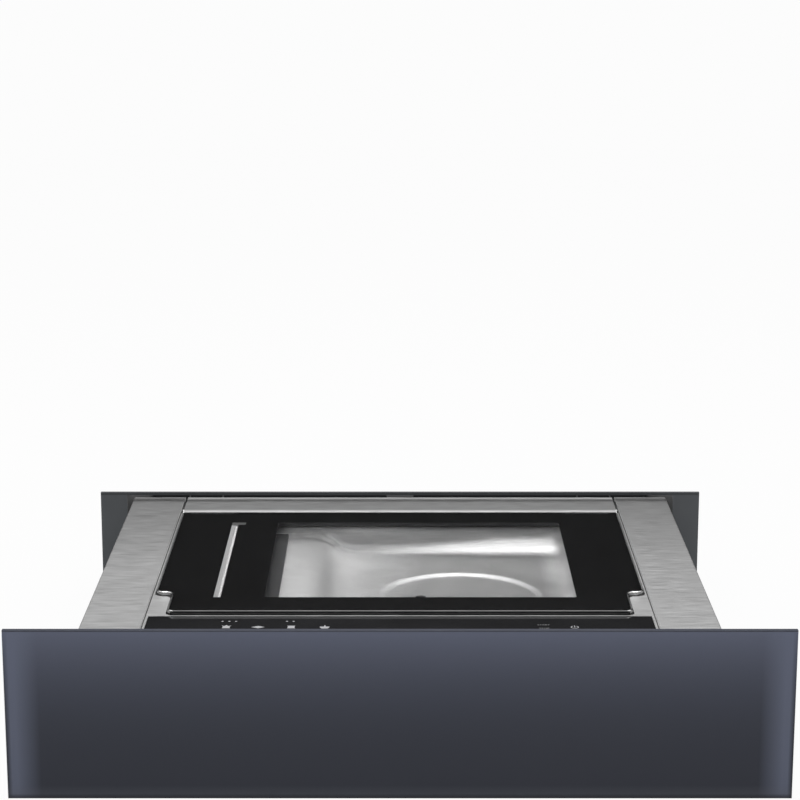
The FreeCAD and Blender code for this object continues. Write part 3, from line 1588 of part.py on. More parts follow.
def valves():
    left = "(suction_across - valve_width / 2)"
    front = f"(0 - {VALVE_SETBACK} - valve_depth / 2)"
    case = block("valve_case", (left, front, PAN_INSIDE), ("valve_width", "valve_depth", "valve_height"))
    level = f"({PAN_INSIDE} + hose_level)"
    port = rod(
        "valve_chamber_port",
        "y",
        ("suction_across", f"{front} + valve_depth - hose_radius", level),
        "hose_bore",
        "2 * hose_radius",
    )
    outlet = rod(
        "valve_pump_port",
        "x",
        (f"{left} + valve_width - hose_radius", f"0 - {VALVE_SETBACK}", level),
        "hose_bore",
        "2 * hose_radius",
    )
    keep(cut("valve_block_cut", case, [port, outlet]), "valve_block")
    coils = [
        rod(
            f"solenoid_{number}",
            "z",
            (f"suction_across {sign} valve_width / 4", f"0 - {VALVE_SETBACK}", f"{PAN_INSIDE} + valve_height"),
            "solenoid_radius",
            "solenoid_height",
        )
        for number, sign in enumerate(("-", "+"))
    ]
    keep(group("valve_solenoids_group", coils), "valve_solenoids")


def hose(label, start, corner, end, bend):
    """A hose of two straight runs and one bend, with its bore."""
    into = (start - corner).normalize()
    out = (end - corner).normalize()
    tangent_in = corner + into * bend
    tangent_out = corner + out * bend
    centre = corner + (into + out) * bend
    turn = out.cross(into).normalize()
    rings = [Part.Wire(Part.makeCircle(radius, start, into)) for radius in (size.hose_radius, size.hose_bore)]
    ring = Part.makeFace(rings, "Part::FaceMakerBullseye")
    first = ring.extrude(tangent_in - start)
    ring.translate(tangent_in - start)
    elbow = ring.revolve(centre, turn, 90)
    ring.rotate(centre, turn, 90)
    last = ring.extrude(end - tangent_out)
    tube = first.fuse([elbow, last]).removeSplitter()
    length = (tangent_in - start).Length + bend * math.pi / 2 + (end - tangent_out).Length
    section = math.pi * (size.hose_radius**2 - size.hose_bore**2)
    if abs(tube.Volume / (section * length) - 1) > 0.01:
        raise RuntimeError(label + ": the tube's volume doesn't fit its length")
    piece = doc.addObject("Part::Feature", label + "_shape")
    piece.Shape = tube
    piece.Placement = FreeCAD.Placement()
    return keep(piece, label)


def hoses():
    level = size.pan_floor_level + size.hose_level
    bend = 3 * size.hose_radius
    valve_setback = size.pump_setback + size.pump_plate_depth / 2 + size.valve_gap + size.valve_depth / 2
    nipple_end = size.basin_under_level - size.nipple_length
    hose(
        "chamber_hose",
        FreeCAD.Vector(size.suction_across, -size.suction_setback, nipple_end),
        FreeCAD.Vector(size.suction_across, -size.suction_setback, level),
        FreeCAD.Vector(size.suction_across, -valve_setback + size.valve_depth / 2, level),
        bend,
    )
    pump_middle = size.pump_across + size.pump_plate_width / 2 - size.pump_width / 2
    hose(
        "pump_hose",
        FreeCAD.Vector(size.suction_across + size.valve_width / 2, -valve_setback, level),
        FreeCAD.Vector(pump_middle, -valve_setback, level),
        FreeCAD.Vector(pump_middle, -size.pump_setback - size.pump_depth / 2, level),
        bend,
    )


def seal_transformer():
    core = block(
        "transformer_core",
        (
            "0 - transformer_across - transformer_width / 2",
            "0 - transformer_setback - transformer_depth / 2",
            PAN_INSIDE,
        ),
        ("transformer_width", "transformer_depth", "transformer_height"),
    )
    coil = block(
        "transformer_coil",
        (
            "0 - transformer_across - coil_width / 2",
            "0 - transformer_setback - coil_depth / 2",
            f"{PAN_INSIDE} + transformer_height / 2 - coil_height / 2",
        ),
        ("coil_width", "coil_depth", "coil_height"),
    )
    return keep(fuse("seal_transformer_fuse", [core, coil]), "seal_transformer")


def power_board():
    low = f"({PAN_INSIDE} + board_lift)"
    board = block(
        "power_board_block",
        (
            "0 - power_board_across - power_board_width / 2",
            "0 - power_board_setback - power_board_depth / 2",
            low,
        ),
        ("power_board_width", "power_board_depth", "board_thickness"),
    )
    posts = [
        rod(
            f"board_post_{number}",
            "z",
            (
                f"0 - power_board_across {sign_x} (power_board_width / 2 - 2 * post_radius)",
                f"0 - power_board_setback {sign_y} (power_board_depth / 2 - 2 * post_radius)",
                PAN_INSIDE,
            ),
            "post_radius",
            "board_lift",
        )
        for number, (sign_x, sign_y) in enumerate((("-", "-"), ("-", "+"), ("+", "-"), ("+", "+")))
    ]
    keep(group("board_posts_group", posts), "board_posts")
    top = f"({low} + board_thickness)"
    capacitors = [
        rod(
            f"capacitor_{number}",
            "z",
            (
                f"0 - power_board_across - power_board_width / 4 + {number} * 2.5 * capacitor_radius",
                "0 - power_board_setback",
                top,
            ),
            "capacitor_radius",
            "capacitor_height",
        )
        for number in range(2)
    ]
    relays = [
        block(
            f"relay_{number}",
            (
                f"0 - power_board_across + power_board_width / 4 - {number} * 1.4 * relay_size",
                "0 - power_board_setback - relay_size / 2",
                top,
            ),
            ("relay_size", "relay_size", "relay_size"),
        )
        for number in range(2)
    ]
    keep(fuse("power_board_fuse", [board, *capacitors, *relays]), "power_board")


def mains_gland():
    """The cable entry in the drawer's rear wall, with its nut inside and its cap outside."""
    place = ("gland_across", "gland_height")

    def collar(name, start, radius, length):
        return rod(name, "y", (place[0], start, place[1]), radius, length)

    stem = collar("gland_stem", f"{PAN_REAR} - steel - gland_nut", "gland_radius - screw_play", "gland_nut + steel")
    nut = collar("gland_nut_ring", f"{PAN_REAR} - steel - gland_nut", "gland_nut_radius", "gland_nut")
    cap = collar("gland_cap", PAN_REAR, "gland_nut_radius", "gland_length")
    bore = collar("gland_bore_hole", f"{PAN_REAR} - 2 * gland_length", "gland_bore", "4 * gland_length")
    solid = fuse("gland_solid", [stem, nut, cap])
    return keep(cut("mains_gland_cut", solid, [bore]), "mains_gland")


def check_and_export():
    """Stop at a failed object or a bad shape, then write one STEP file for each sub-part."""
    doc.recompute()
    for thing in doc.Objects:
        if "Invalid" in thing.State or "Error" in thing.State:
            raise RuntimeError("failed object: " + thing.Name)
    for piece in kept:
        if piece.Shape.isNull() or not piece.Shape.isValid():
            raise RuntimeError("bad shape: " + piece.Label)
    os.makedirs("parts", exist_ok=True)
    for piece in kept:
        piece.Shape.exportStep(os.path.join("parts", piece.Label + ".step"))
        print(piece.Label, len(piece.Shape.Solids), round(piece.Shape.Volume))


base_tray()
side_plates()
housing_rivets()
top_bar()
runners()
push_latch()
front_glass()
glass_bond()
front_carrier()
panel_spacers()
panel_screws()
panel_buffers()
drawer_pan()
side_rails()
crossbars()
lid_surround()
chamber_basin()
suction_nipple()
seal_carrier()
seal_bar()
lid_glass()
lid_frame()
lid_gasket()
counter_bar()
hinge_cover()
hinges()
control_strip()
pump_group()
valves()
hoses()
seal_transformer()
power_board()
mains_gland()
check_and_export()
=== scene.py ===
import json
import math

import bmesh
import bpy
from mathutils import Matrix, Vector


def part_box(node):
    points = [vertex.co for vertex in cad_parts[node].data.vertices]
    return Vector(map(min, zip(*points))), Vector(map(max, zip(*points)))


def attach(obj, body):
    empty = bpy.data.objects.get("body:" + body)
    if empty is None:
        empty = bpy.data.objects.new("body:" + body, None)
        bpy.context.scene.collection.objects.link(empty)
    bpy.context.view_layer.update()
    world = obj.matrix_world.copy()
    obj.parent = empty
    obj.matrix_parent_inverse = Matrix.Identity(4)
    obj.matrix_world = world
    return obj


# Vacuum sealing drawer, shown pulled out: finishes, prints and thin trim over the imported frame.
# Metres, in the frame's own axes: X across, Y to the rear, Z up.

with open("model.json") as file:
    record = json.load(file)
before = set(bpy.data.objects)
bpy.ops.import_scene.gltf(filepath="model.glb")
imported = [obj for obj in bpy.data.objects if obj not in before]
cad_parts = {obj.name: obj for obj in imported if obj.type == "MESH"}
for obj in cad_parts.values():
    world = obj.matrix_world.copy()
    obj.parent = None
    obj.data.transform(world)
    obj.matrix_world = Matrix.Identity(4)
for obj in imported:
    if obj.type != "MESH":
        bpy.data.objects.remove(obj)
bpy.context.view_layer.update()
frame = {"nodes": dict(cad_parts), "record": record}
scene = bpy.context.scene
MM = 0.001

panel_low, panel_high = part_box("front_glass")
top_bar_low, top_bar_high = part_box("top_bar")
lid_low, lid_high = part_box("lid_glass")
cover_low, cover_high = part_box("hinge_cover")
rail_low, rail_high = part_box("side_rail_right")
counter_bar_low, counter_bar_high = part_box("counter_bar")
deck_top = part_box("lid_surround")[1]
control_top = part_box("control_glass")[1].z


# Shader nodes

def set_inputs(tree, node, values):
    """Link each named input to a socket, or set it to a value."""
    for key, value in values.items():
        if isinstance(value, bpy.types.NodeSocket):
            tree.links.new(value, node.inputs[key])
        else:
            node.inputs[key].default_value = value


def put(tree, kind, values=None, **settings):
    """A shader node with its settings and its inputs."""
    node = tree.nodes.new("ShaderNode" + kind)
    for key, value in settings.items():
        setattr(node, key, value)
    set_inputs(tree, node, values or {})
    return node


def maths(tree, operation, first, second=0.0, clamp=False):
    return put(tree, "Math", {0: first, 1: second}, operation=operation, use_clamp=clamp).outputs[0]


def times(tree, first, second):
    return maths(tree, "MULTIPLY", first, second)


def ramp(tree, value, low, high, to_low=0.0, to_high=1.0):
    """A value carried from one range to another, and held at its ends."""
    ends = {"Value": value, "From Min": low, "From Max": high, "To Min": to_low, "To Max": to_high}
    return put(tree, "MapRange", ends, clamp=True).outputs[0]


def blend_colours(tree, factor, low, high, blend_type="MIX"):
    """Colours mixed by a factor. On Blender's Mix node they are inputs 6 and 7, and output 2."""
    values = {0: factor, 6: low, 7: high}
    return put(tree, "Mix", values, data_type="RGBA", blend_type=blend_type).outputs[2]


def blend_vectors(tree, factor, low, high):
    """Vectors mixed by a factor. On Blender's Mix node they are inputs 4 and 5, and output 1."""
    values = {0: factor, 4: low, 5: high}
    return put(tree, "Mix", values, data_type="VECTOR").outputs[1]


def noise(tree, place, scale, detail, distortion=0.0):
    values = {"Vector": place, "Scale": scale, "Detail": detail, "Distortion": distortion}
    return put(tree, "TexNoise", values).outputs[0]


def object_place(tree):
    return put(tree, "TexCoord").outputs["Object"]


def axes(tree, vector):
    return put(tree, "SeparateXYZ", {0: vector}).outputs


def rgba(colour):
    return (*colour, 1.0)


def grey(level):
    return (level, level, level)


# Effects that several finishes share

def effect(name, inputs, outputs):
    """An empty node group. An input is a number with a starting value, or a vector where it has none."""
    tree = bpy.data.node_groups.new(name, "ShaderNodeTree")
    for label, value in inputs.items():
        kind = "NodeSocketVector" if value is None else "NodeSocketFloat"
        socket = tree.interface.new_socket(label, in_out="INPUT", socket_type=kind)
        if value is not None:
            socket.default_value = value
    for label in outputs:
        tree.interface.new_socket(label, in_out="OUTPUT", socket_type="NodeSocketFloat")
    return tree, tree.nodes.new("NodeGroupInput").outputs, tree.nodes.new("NodeGroupOutput")


def scratches(tree, given, coarseness, shortness, detail):
    """Noise stretched along X, Length times as long as it is wide before it is shortened."""
    across = times(tree, given["Pitch"], coarseness)
    along = times(tree, maths(tree, "DIVIDE", across, given["Length"]), shortness)
    stretch = put(tree, "CombineXYZ", {"X": along, "Y": across, "Z": across}).outputs[0]
    place = put(tree, "VectorMath", {0: given["Vector"], 1: stretch}, operation="MULTIPLY").outputs[0]
    return noise(tree, place, 1.0, detail)


def brushed_lines():
    """Brushed steel: fine long hairs over broader, shorter bands."""
    inputs = {"Vector": None, "Pitch": 900.0, "Length": 60.0}
    tree, given, result = effect("Brushed Lines", inputs, ["Tone", "Height"])
    hairs = scratches(tree, given, coarseness=1.0, shortness=1.0, detail=3.0)
    bands = scratches(tree, given, coarseness=0.42, shortness=1.8, detail=2.0)
    both = maths(tree, "ADD", times(tree, hairs, 0.6), times(tree, bands, 0.4))
    set_inputs(tree, result, {"Tone": ramp(tree, both, 0.35, 0.65), "Height": hairs})
    return tree


def fine_grain():
    """The pebbled skin of powder coat, moulded plastic and rubber."""
    inputs = {"Vector": None, "Pitch": 1500.0, "Mottle": 12.0}
    tree, given, result = effect("Fine Grain", inputs, ["Tone", "Height"])
    cells = {"Vector": given["Vector"], "Scale": given["Pitch"]}
    pebbles = put(tree, "TexVoronoi", cells).outputs["Distance"]
    cloud = noise(tree, given["Vector"], given["Mottle"], 6.0)
    set_inputs(tree, result, {"Tone": ramp(tree, cloud, 0.3, 0.7), "Height": pebbles})
    return tree


def woven_tape():
    """Crossing threads of a glass-cloth tape."""
    inputs = {"Vector": None, "Pitch": 1200.0}
    tree, given, result = effect("Woven Tape", inputs, ["Tone", "Height"])
    values = {"Vector": given["Vector"], "Scale": given["Pitch"], "Distortion": 0.4}
    warp, weft = [
        put(tree, "TexWave", values, wave_type="BANDS", bands_direction=direction).outputs["Fac"]
        for direction in "XY"
    ]
    threads = times(tree, warp, weft)
    set_inputs(tree, result, {"Tone": threads, "Height": threads})
    return tree


def zinc_flakes():
    """Faint crystals of a galvanised sheet, or the facets of a casting."""
    inputs = {"Vector": None, "Pitch": 160.0, "Mottle": 9.0}
    tree, given, result = effect("Zinc Flakes", inputs, ["Tone", "Height"])
    cells = {"Vector": given["Vector"], "Scale": given["Pitch"]}
    flakes = put(tree, "TexVoronoi", cells).outputs["Color"]
    shade = put(tree, "SeparateColor", {0: flakes}).outputs["Red"]
    cloud = noise(tree, given["Vector"], given["Mottle"], 5.0)
    both = maths(tree, "ADD", times(tree, shade, 0.45), times(tree, cloud, 0.55))
    set_inputs(tree, result, {"Tone": both, "Height": cloud})
    return tree


def handling_marks():
    """Wiped and touched areas that dull a smooth face."""
    inputs = {"Vector": None, "Scale": 9.0, "Amount": 0.1}
    tree, given, result = effect("Handling Marks", inputs, ["Dullness"])
    cloud = noise(tree, given["Vector"], given["Scale"], 5.0, distortion=0.6)
    spots = ramp(tree, cloud, 0.45, 0.75)
    set_inputs(tree, result, {"Dullness": times(tree, spots, given["Amount"])})
    return tree


def edge_shine():
    """A mask of the outer edges, which finishes lighten both as wear and as a painted highlight."""
    tree, given, result = effect("Edge Shine", {"Width": 0.6 * MM}, ["Mask"])
    rounded = put(tree, "Bevel", {"Radius": given["Width"]}, samples=4).outputs[0]
    flat = put(tree, "NewGeometry").outputs["Normal"]
    match = put(tree, "VectorMath", {0: rounded, 1: flat}, operation="DOT_PRODUCT").outputs["Value"]
    set_inputs(tree, result, {"Mask": ramp(tree, match, 0.98, 0.80)})
    return tree


PATTERNS = {"lines": brushed_lines(), "grain": fine_grain(), "weave": woven_tape(), "flakes": zinc_flakes()}
MARKS = handling_marks()
EDGES = edge_shine()


def place_effect(tree, group, values):
    return put(tree, "Group", values, node_tree=group).outputs


# Finishes

def new_material(name):
    made = bpy.data.materials.new(name)
    made.use_nodes = True
    tree = made.node_tree
    return made, tree, tree.nodes["Principled BSDF"]


def mix_surface(tree, share, first, second):
    """The material shows its first shader where share is 0 and its second where it is 1."""
    mixed = put(tree, "MixShader", {0: share, 1: first.outputs[0], 2: second.outputs[0]})
    set_inputs(tree, tree.nodes["Material Output"], {"Surface": mixed.outputs[0]})


DISH_CENTRE = (50.7 * MM, -211.4 * MM, 90 * MM)
DISH_RADIUS = 74 * MM
DISH_RIM_WIDTH = 10 * MM


def rounded_normal(tree, place, radius):
    """Softer bends everywhere but in the round dish of the chamber's floor."""
    soft = put(tree, "Bevel", {"Radius": radius}, samples=6).outputs[0]
    flat = put(tree, "NewGeometry").outputs["Normal"]
    from_dish = put(tree, "VectorMath", {0: place, 1: DISH_CENTRE}, operation="DISTANCE").outputs["Value"]
    outside = ramp(tree, from_dish, DISH_RADIUS, DISH_RADIUS + DISH_RIM_WIDTH)
    return blend_vectors(tree, outside, flat, soft)


# Outer edges are lightened, partly as wear and partly as a painted highlight.
EDGE_WEAR_AND_HIGHLIGHT_WIDTH = 0.7 * MM
EDGE_WEAR_AND_HIGHLIGHT_GAIN = 1.6
EDGE_WEAR_AND_HIGHLIGHT_LIFT = 0.04
ROUGHNESS_SPREAD = 0.1


def finish(name, colour, roughness, metallic=0.0, pattern="grain", pitch=1500.0, length=60.0, spread=0.25,
           bump=0.1, depth=0.05 * MM, marks=0.08, edge=0.0, coat=0.0, specular=0.5, round_bends=0.0):
    """An opaque finish: a patterned colour, wiped places that are duller, and a fine relief."""
    made, tree, shader = new_material(name)
    place = object_place(tree)
    values = {"Vector": place, "Pitch": pitch}
    if pattern == "lines":
        values["Length"] = length
    surface = place_effect(tree, PATTERNS[pattern], values)
    dark = tuple(part * (1 - spread) for part in colour)
    light = tuple(min(part * (1 + spread), 1.0) for part in colour)
    tint = blend_colours(tree, surface["Tone"], rgba(dark), rgba(light))
    # Wear and a painted highlight: a lighter colour along the outer edges.
    if edge:
        mask = place_effect(tree, EDGES, {"Width": EDGE_WEAR_AND_HIGHLIGHT_WIDTH})["Mask"]
        edge_wear_and_highlight = tuple(min(part * EDGE_WEAR_AND_HIGHLIGHT_GAIN + EDGE_WEAR_AND_HIGHLIGHT_LIFT, 1.0) for part in colour)
        tint = blend_colours(tree, times(tree, mask, edge), tint, rgba(edge_wear_and_highlight))
    smooth, rough = roughness * (1 - ROUGHNESS_SPREAD), roughness * (1 + ROUGHNESS_SPREAD)
    toned = ramp(tree, surface["Tone"], 0.0, 1.0, smooth, rough)
    dull = place_effect(tree, MARKS, {"Vector": place, "Amount": marks})["Dullness"]
    relief = {"Strength": bump, "Distance": depth, "Height": surface["Height"]}
    if round_bends:
        relief["Normal"] = rounded_normal(tree, place, round_bends)
    set_inputs(tree, shader, {
        "Base Color": tint,
        "Roughness": maths(tree, "ADD", toned, dull, clamp=True),
        "Normal": put(tree, "Bump", relief).outputs[0],
        "Metallic": metallic,
        "Specular IOR Level": specular,
        "Coat Weight": coat,
        "Coat Roughness": 0.15,
    })
    return made


# The panel's paint, then painted shade, painted glows and a dark line at its foot.
PANEL_PAINT_DARK = (0.140, 0.156, 0.216)
PANEL_PAINT_LIGHT = (0.149, 0.165, 0.229)
PANEL_PAINTED_FOOT_SHADE = 0.25
PANEL_PAINTED_SHADE_POWER = 3.0
PAINTED_SIDE_GLOW = (0.165, 0.185, 0.255)
PAINTED_SIDE_GLOW_SHARE = 0.85
PAINTED_SILL_GLOW = (0.16, 0.17, 0.20)
PAINTED_SILL_GLOW_SHARE = 0.2
FOOT_LINE = (0.012, 0.014, 0.020)
FOOT_LINE_SHARE = 0.7
PAINTED_TOP_EDGE_SHADE = (0.035, 0.039, 0.055)


def panel_paint_and_painted_light(tree, place):
    """The panel's colour with painted light: painted shade towards its foot, a painted glow at its sides and
    over its sill, painted shade on its top edge, and a dark line along its foot.
    """
    x, _, z = axes(tree, place)
    aside = maths(tree, "ABSOLUTE", x)
    cloud = noise(tree, place, 3.0, 2.0)
    paint = blend_colours(tree, cloud, rgba(PANEL_PAINT_DARK), rgba(PANEL_PAINT_LIGHT))
    # Painted shade: darker towards the foot.
    height = maths(tree, "POWER", ramp(tree, z, panel_low.z, panel_high.z), PANEL_PAINTED_SHADE_POWER)
    shade = ramp(tree, height, 0.0, 1.0, PANEL_PAINTED_FOOT_SHADE, 1.0)
    paint = blend_colours(tree, 1.0, paint, shade, blend_type="MULTIPLY")
    # Painted glow at the sides and over the sill.
    glow = ramp(tree, aside, panel_high.x - 26 * MM, panel_high.x - 8 * MM)
    glow_end = ramp(tree, aside, panel_high.x - 1 * MM, panel_high.x - 4 * MM)
    side = times(tree, times(tree, glow, glow_end), PAINTED_SIDE_GLOW_SHARE)
    paint = blend_colours(tree, side, paint, rgba(PAINTED_SIDE_GLOW))
    sill = ramp(tree, z, panel_low.z + 11 * MM, panel_low.z + 4 * MM)
    paint = blend_colours(tree, times(tree, sill, PAINTED_SILL_GLOW_SHARE), paint, rgba(PAINTED_SILL_GLOW))
    foot = ramp(tree, z, panel_low.z + 4 * MM, panel_low.z + 1.5 * MM)
    paint = blend_colours(tree, times(tree, foot, FOOT_LINE_SHARE), paint, rgba(FOOT_LINE))
    # Painted shade along the top edge.
    top_edge_shade = ramp(tree, z, panel_high.z - 1.2 * MM, panel_high.z - 0.7 * MM)
    return blend_colours(tree, top_edge_shade, paint, rgba(PAINTED_TOP_EDGE_SHADE))


def panel_glass():
    """Back-painted satin glass, with painted shade and painted glows in its colour."""
    made, tree, shader = new_material("panel_glass")
    place = object_place(tree)
    dull = place_effect(tree, MARKS, {"Vector": place, "Scale": 5.0, "Amount": 0.04})["Dullness"]
    grain = noise(tree, place, 2600.0, 1.0)
    set_inputs(tree, shader, {
        "Base Color": panel_paint_and_painted_light(tree, place),
        "Roughness": maths(tree, "ADD", 0.36, dull),
        "Normal": put(tree, "Bump", {"Strength": 0.05, "Distance": 0.02 * MM, "Height": grain}).outputs[0],
        "IOR": 1.5,
        "Specular IOR Level": 0.25,
    })
    return made


def lid_glass():
    """Clear plate glass that lets light through to what lies below."""
    made, tree, shader = new_material("lid_glass")
    clear = rgba(grey(0.99))
    marks = {"Vector": object_place(tree), "Scale": 14.0, "Amount": 0.015}
    dull = place_effect(tree, MARKS, marks)["Dullness"]
    set_inputs(tree, shader, {
        "Base Color": clear,
        "Roughness": maths(tree, "ADD", 0.01, dull),
        "Transmission Weight": 1.0,
        "IOR": 1.46,
        "Specular IOR Level": 0.25,
    })
    shadow_ray = put(tree, "LightPath").outputs["Is Shadow Ray"]
    mix_surface(tree, shadow_ray, shader, put(tree, "BsdfTransparent", {"Color": clear}))
    return made


def circuit_board():
    """Green solder mask over copper tracks."""
    made, tree, shader = new_material("circuit_board")
    layout = {"Vector": object_place(tree), "Scale": 260.0, "Mortar Size": 0.03}
    tracks = put(tree, "TexBrick", layout, offset=0.37).outputs["Fac"]
    set_inputs(tree, shader, {
        "Base Color": blend_colours(tree, tracks, (0.006, 0.05, 0.018, 1), (0.02, 0.11, 0.04, 1)),
        "Normal": put(tree, "Bump", {"Strength": 0.4, "Distance": 0.04 * MM, "Height": tracks}).outputs[0],
        "Roughness": 0.35,
    })
    return made


# Pitch is in pattern cells to the metre, and length in times the width of a scratch.
GRAIN = dict(pattern="grain")
BRUSHED = dict(pattern="lines", metallic=1.0)
CRYSTAL = dict(pattern="flakes", metallic=1.0)
ROLLED_STEEL = dict(BRUSHED, colour=grey(0.47), roughness=0.42, pitch=1300, length=22, spread=0.15, bump=0.03,
                    marks=0.015)
LOOKS = {
    "housing_paint": dict(
        GRAIN, colour=(0.092, 0.099, 0.106), roughness=0.50, pitch=1300, spread=0.12, edge=0.35),
    "motor_paint": dict(
        GRAIN, colour=(0.02, 0.02, 0.022), roughness=0.30, pitch=500, bump=0.12, edge=0.3, coat=0.3),
    "black_enamel": dict(
        GRAIN, colour=(0.003, 0.003, 0.0032), roughness=0.6, pitch=2500, bump=0.002, marks=0.02,
        specular=0.06),
    "control_glass": dict(
        GRAIN, colour=(0.010, 0.010, 0.011), roughness=0.10, pitch=2400, bump=0.01, marks=0.05),
    "symbol_print": dict(
        GRAIN, colour=(0.30, 0.30, 0.31), roughness=0.5, pitch=2500, spread=0.05, bump=0.01),
    "faint_print": dict(
        GRAIN, colour=(0.15, 0.15, 0.152), roughness=0.5, pitch=2500, spread=0.05, bump=0.01),
    "black_plastic": dict(
        GRAIN, colour=(0.018, 0.018, 0.019), roughness=0.48, pitch=1700, bump=0.2, edge=0.2),
    "carrier_plastic": dict(
        GRAIN, colour=(0.010, 0.010, 0.011), roughness=0.42, pitch=1500, bump=0.15, edge=0.3),
    "coil_black": dict(
        GRAIN, colour=(0.015, 0.015, 0.016), roughness=0.30, pitch=800, bump=0.08, edge=0.2),
    "bond_tape": dict(GRAIN, colour=grey(0.03), roughness=0.75, pitch=900, bump=0.4),
    "black_rubber": dict(GRAIN, colour=grey(0.014), roughness=0.62, pitch=1100, bump=0.3),
    "hose_rubber": dict(
        GRAIN, colour=(0.50, 0.50, 0.47), roughness=0.40, pitch=600, spread=0.06, bump=0.06),
    "white_silicone": dict(GRAIN, colour=grey(0.54), roughness=0.42, pitch=900, spread=0.06, bump=0.1),
    "grey_silicone": dict(GRAIN, colour=grey(0.16), roughness=0.50, pitch=900, spread=0.1, bump=0.15),
    # A black that paints the shadow line in the rail joints.
    "joint_shade_black": dict(GRAIN, colour=grey(0.012), roughness=0.5, pitch=900, bump=0.1),
    # The tape's brown is darkened below its own colour, as painted shade where it shows through the slot.
    "heater_tape": dict(
        pattern="weave", colour=(0.06, 0.042, 0.026), roughness=0.55, pitch=420, spread=0.35, bump=0.6,
        depth=0.1 * MM),
    "stainless": dict(ROLLED_STEEL, edge=0.6),
    "cover_steel": dict(ROLLED_STEEL, edge=0.3),
    # Pale steel: its bends stay pale as painted highlights, while painted shade darkens its floor and walls.
    "chamber_steel": dict(
        BRUSHED, colour=grey(0.93), roughness=0.36, pitch=1300, length=22, spread=0.14, bump=0.03,
        round_bends=9 * MM),
    # Paler than the rail's steel: a painted highlight on the rails' inner edges.
    "rail_edge_highlight": dict(
        BRUSHED, colour=grey(0.72), roughness=0.32, pitch=2200, length=40, spread=0.06, bump=0.03),
    # A dark steel that paints shade: on the rim's straight front and in the suction hole.
    "painted_shade_steel": dict(
        BRUSHED, colour=grey(0.11), roughness=0.2, pitch=2200, length=30, spread=0.1, bump=0.02),
    "polished_steel": dict(
        BRUSHED, colour=grey(0.75), roughness=0.14, pitch=2200, length=30, spread=0.05, bump=0.02),
    "aluminium": dict(
        BRUSHED, colour=(0.60, 0.60, 0.61), roughness=0.34, pitch=900, spread=0.1, bump=0.06, edge=0.3),
    "brass": dict(
        BRUSHED, colour=(0.62, 0.44, 0.18), roughness=0.28, pitch=1500, spread=0.08, bump=0.05, edge=0.2),
    "core_steel": dict(
        BRUSHED, metallic=0.3, colour=(0.09, 0.065, 0.05), roughness=0.45, pitch=2200, length=400, spread=0.3,
        bump=0.5, edge=0.3),
    "zinc_steel": dict(
        CRYSTAL, colour=(0.42, 0.43, 0.44), roughness=0.38, pitch=170, spread=0.16, bump=0.06, edge=0.3),
    "black_zinc": dict(
        CRYSTAL, metallic=0.6, colour=(0.03, 0.03, 0.032), roughness=0.42, pitch=240, spread=0.2, bump=0.05,
        edge=0.2),
    "ball_steel": dict(
        CRYSTAL, colour=(0.62, 0.62, 0.63), roughness=0.16, pitch=300, spread=0.08, bump=0.03),
    "pump_cast": dict(
        CRYSTAL, colour=(0.38, 0.39, 0.40), roughness=0.48, pitch=700, spread=0.15, bump=0.35, edge=0.3),
}
FINISHES = {name: finish(name, **look) for name, look in LOOKS.items()}
FINISHES.update({"panel_glass": panel_glass(), "lid_glass": lid_glass(), "circuit_board": circuit_board()})


# Painted shade and highlights by place

DECK_PAINTED_SHADE_FRONT = -220 * MM
DECK_PAINTED_SHADE_REAR = 0.0
RAMP_FOOT = -45 * MM
RIGHT_WALL_FOOT = 142 * MM
FLOOR_FACING = (0.84, 0.99)
WALL_FACING = (0.55, 0.3)


def painted_light_by_place(name, colour, mask):
    """Paint shade and highlights into a finish: multiply its colour by another where mask(tree, x, y, z) is
    1.
    """
    tree = FINISHES[name].node_tree
    base = tree.nodes["Principled BSDF"].inputs["Base Color"]
    x, y, z = axes(tree, object_place(tree))
    plain = base.links[0].from_socket
    shaded = blend_colours(tree, mask(tree, x, y, z), plain, rgba(colour), blend_type="MULTIPLY")
    tree.links.new(shaded, base)


def upright(tree):
    """How far a face looks up, from 0 for a wall to 1 for a floor."""
    return axes(tree, put(tree, "NewGeometry").outputs["True Normal"])[2]


def housing_inside_shade(tree, x, y, z):
    """Where the housing paint is darkened as painted shade: behind the flanges' front faces, and not on the
    housing's outer sides.
    """
    behind = ramp(tree, y, 1.6 * MM, 4 * MM)
    within = ramp(tree, maths(tree, "ABSOLUTE", x), top_bar_high.x - 0.3 * MM, top_bar_high.x - 0.7 * MM)
    return times(tree, behind, within)


# Painted shade: the housing paint is darker on the top bar.
def top_bar_shade(tree, x, y, z):
    return ramp(tree, z, top_bar_low.z - 0.2 * MM, top_bar_low.z + 0.1 * MM)


# Painted shade, darker towards the rear of the deck and the hinge cover.
def deck_rear_shade(tree, x, y, z):
    return ramp(tree, y, DECK_PAINTED_SHADE_FRONT, DECK_PAINTED_SHADE_REAR)


def cover_highlights(tree, x, y, z):
    """Painted highlights along the cover's rear edge and its bend down in front."""
    rear = ramp(tree, y, cover_high.y - 11.5 * MM, cover_high.y - 5.5 * MM)
    front = ramp(tree, y, cover_low.y + 9 * MM, cover_low.y + 6 * MM)
    return maths(tree, "MAXIMUM", rear, front)


def chamber_floor_shade(tree, x, y, z):
    """Painted shade on the level faces between the ramp and the chamber's right wall."""
    beside_ramp = ramp(tree, x, RAMP_FOOT, RAMP_FOOT + 65 * MM)
    beside_wall = ramp(tree, x, RIGHT_WALL_FOOT, RIGHT_WALL_FOOT - 20 * MM)
    level = ramp(tree, upright(tree), *FLOOR_FACING)
    return times(tree, times(tree, beside_ramp, beside_wall), level)


# Painted shade on the chamber's walls.
def chamber_wall_shade(tree, x, y, z):
    return ramp(tree, upright(tree), *WALL_FACING)


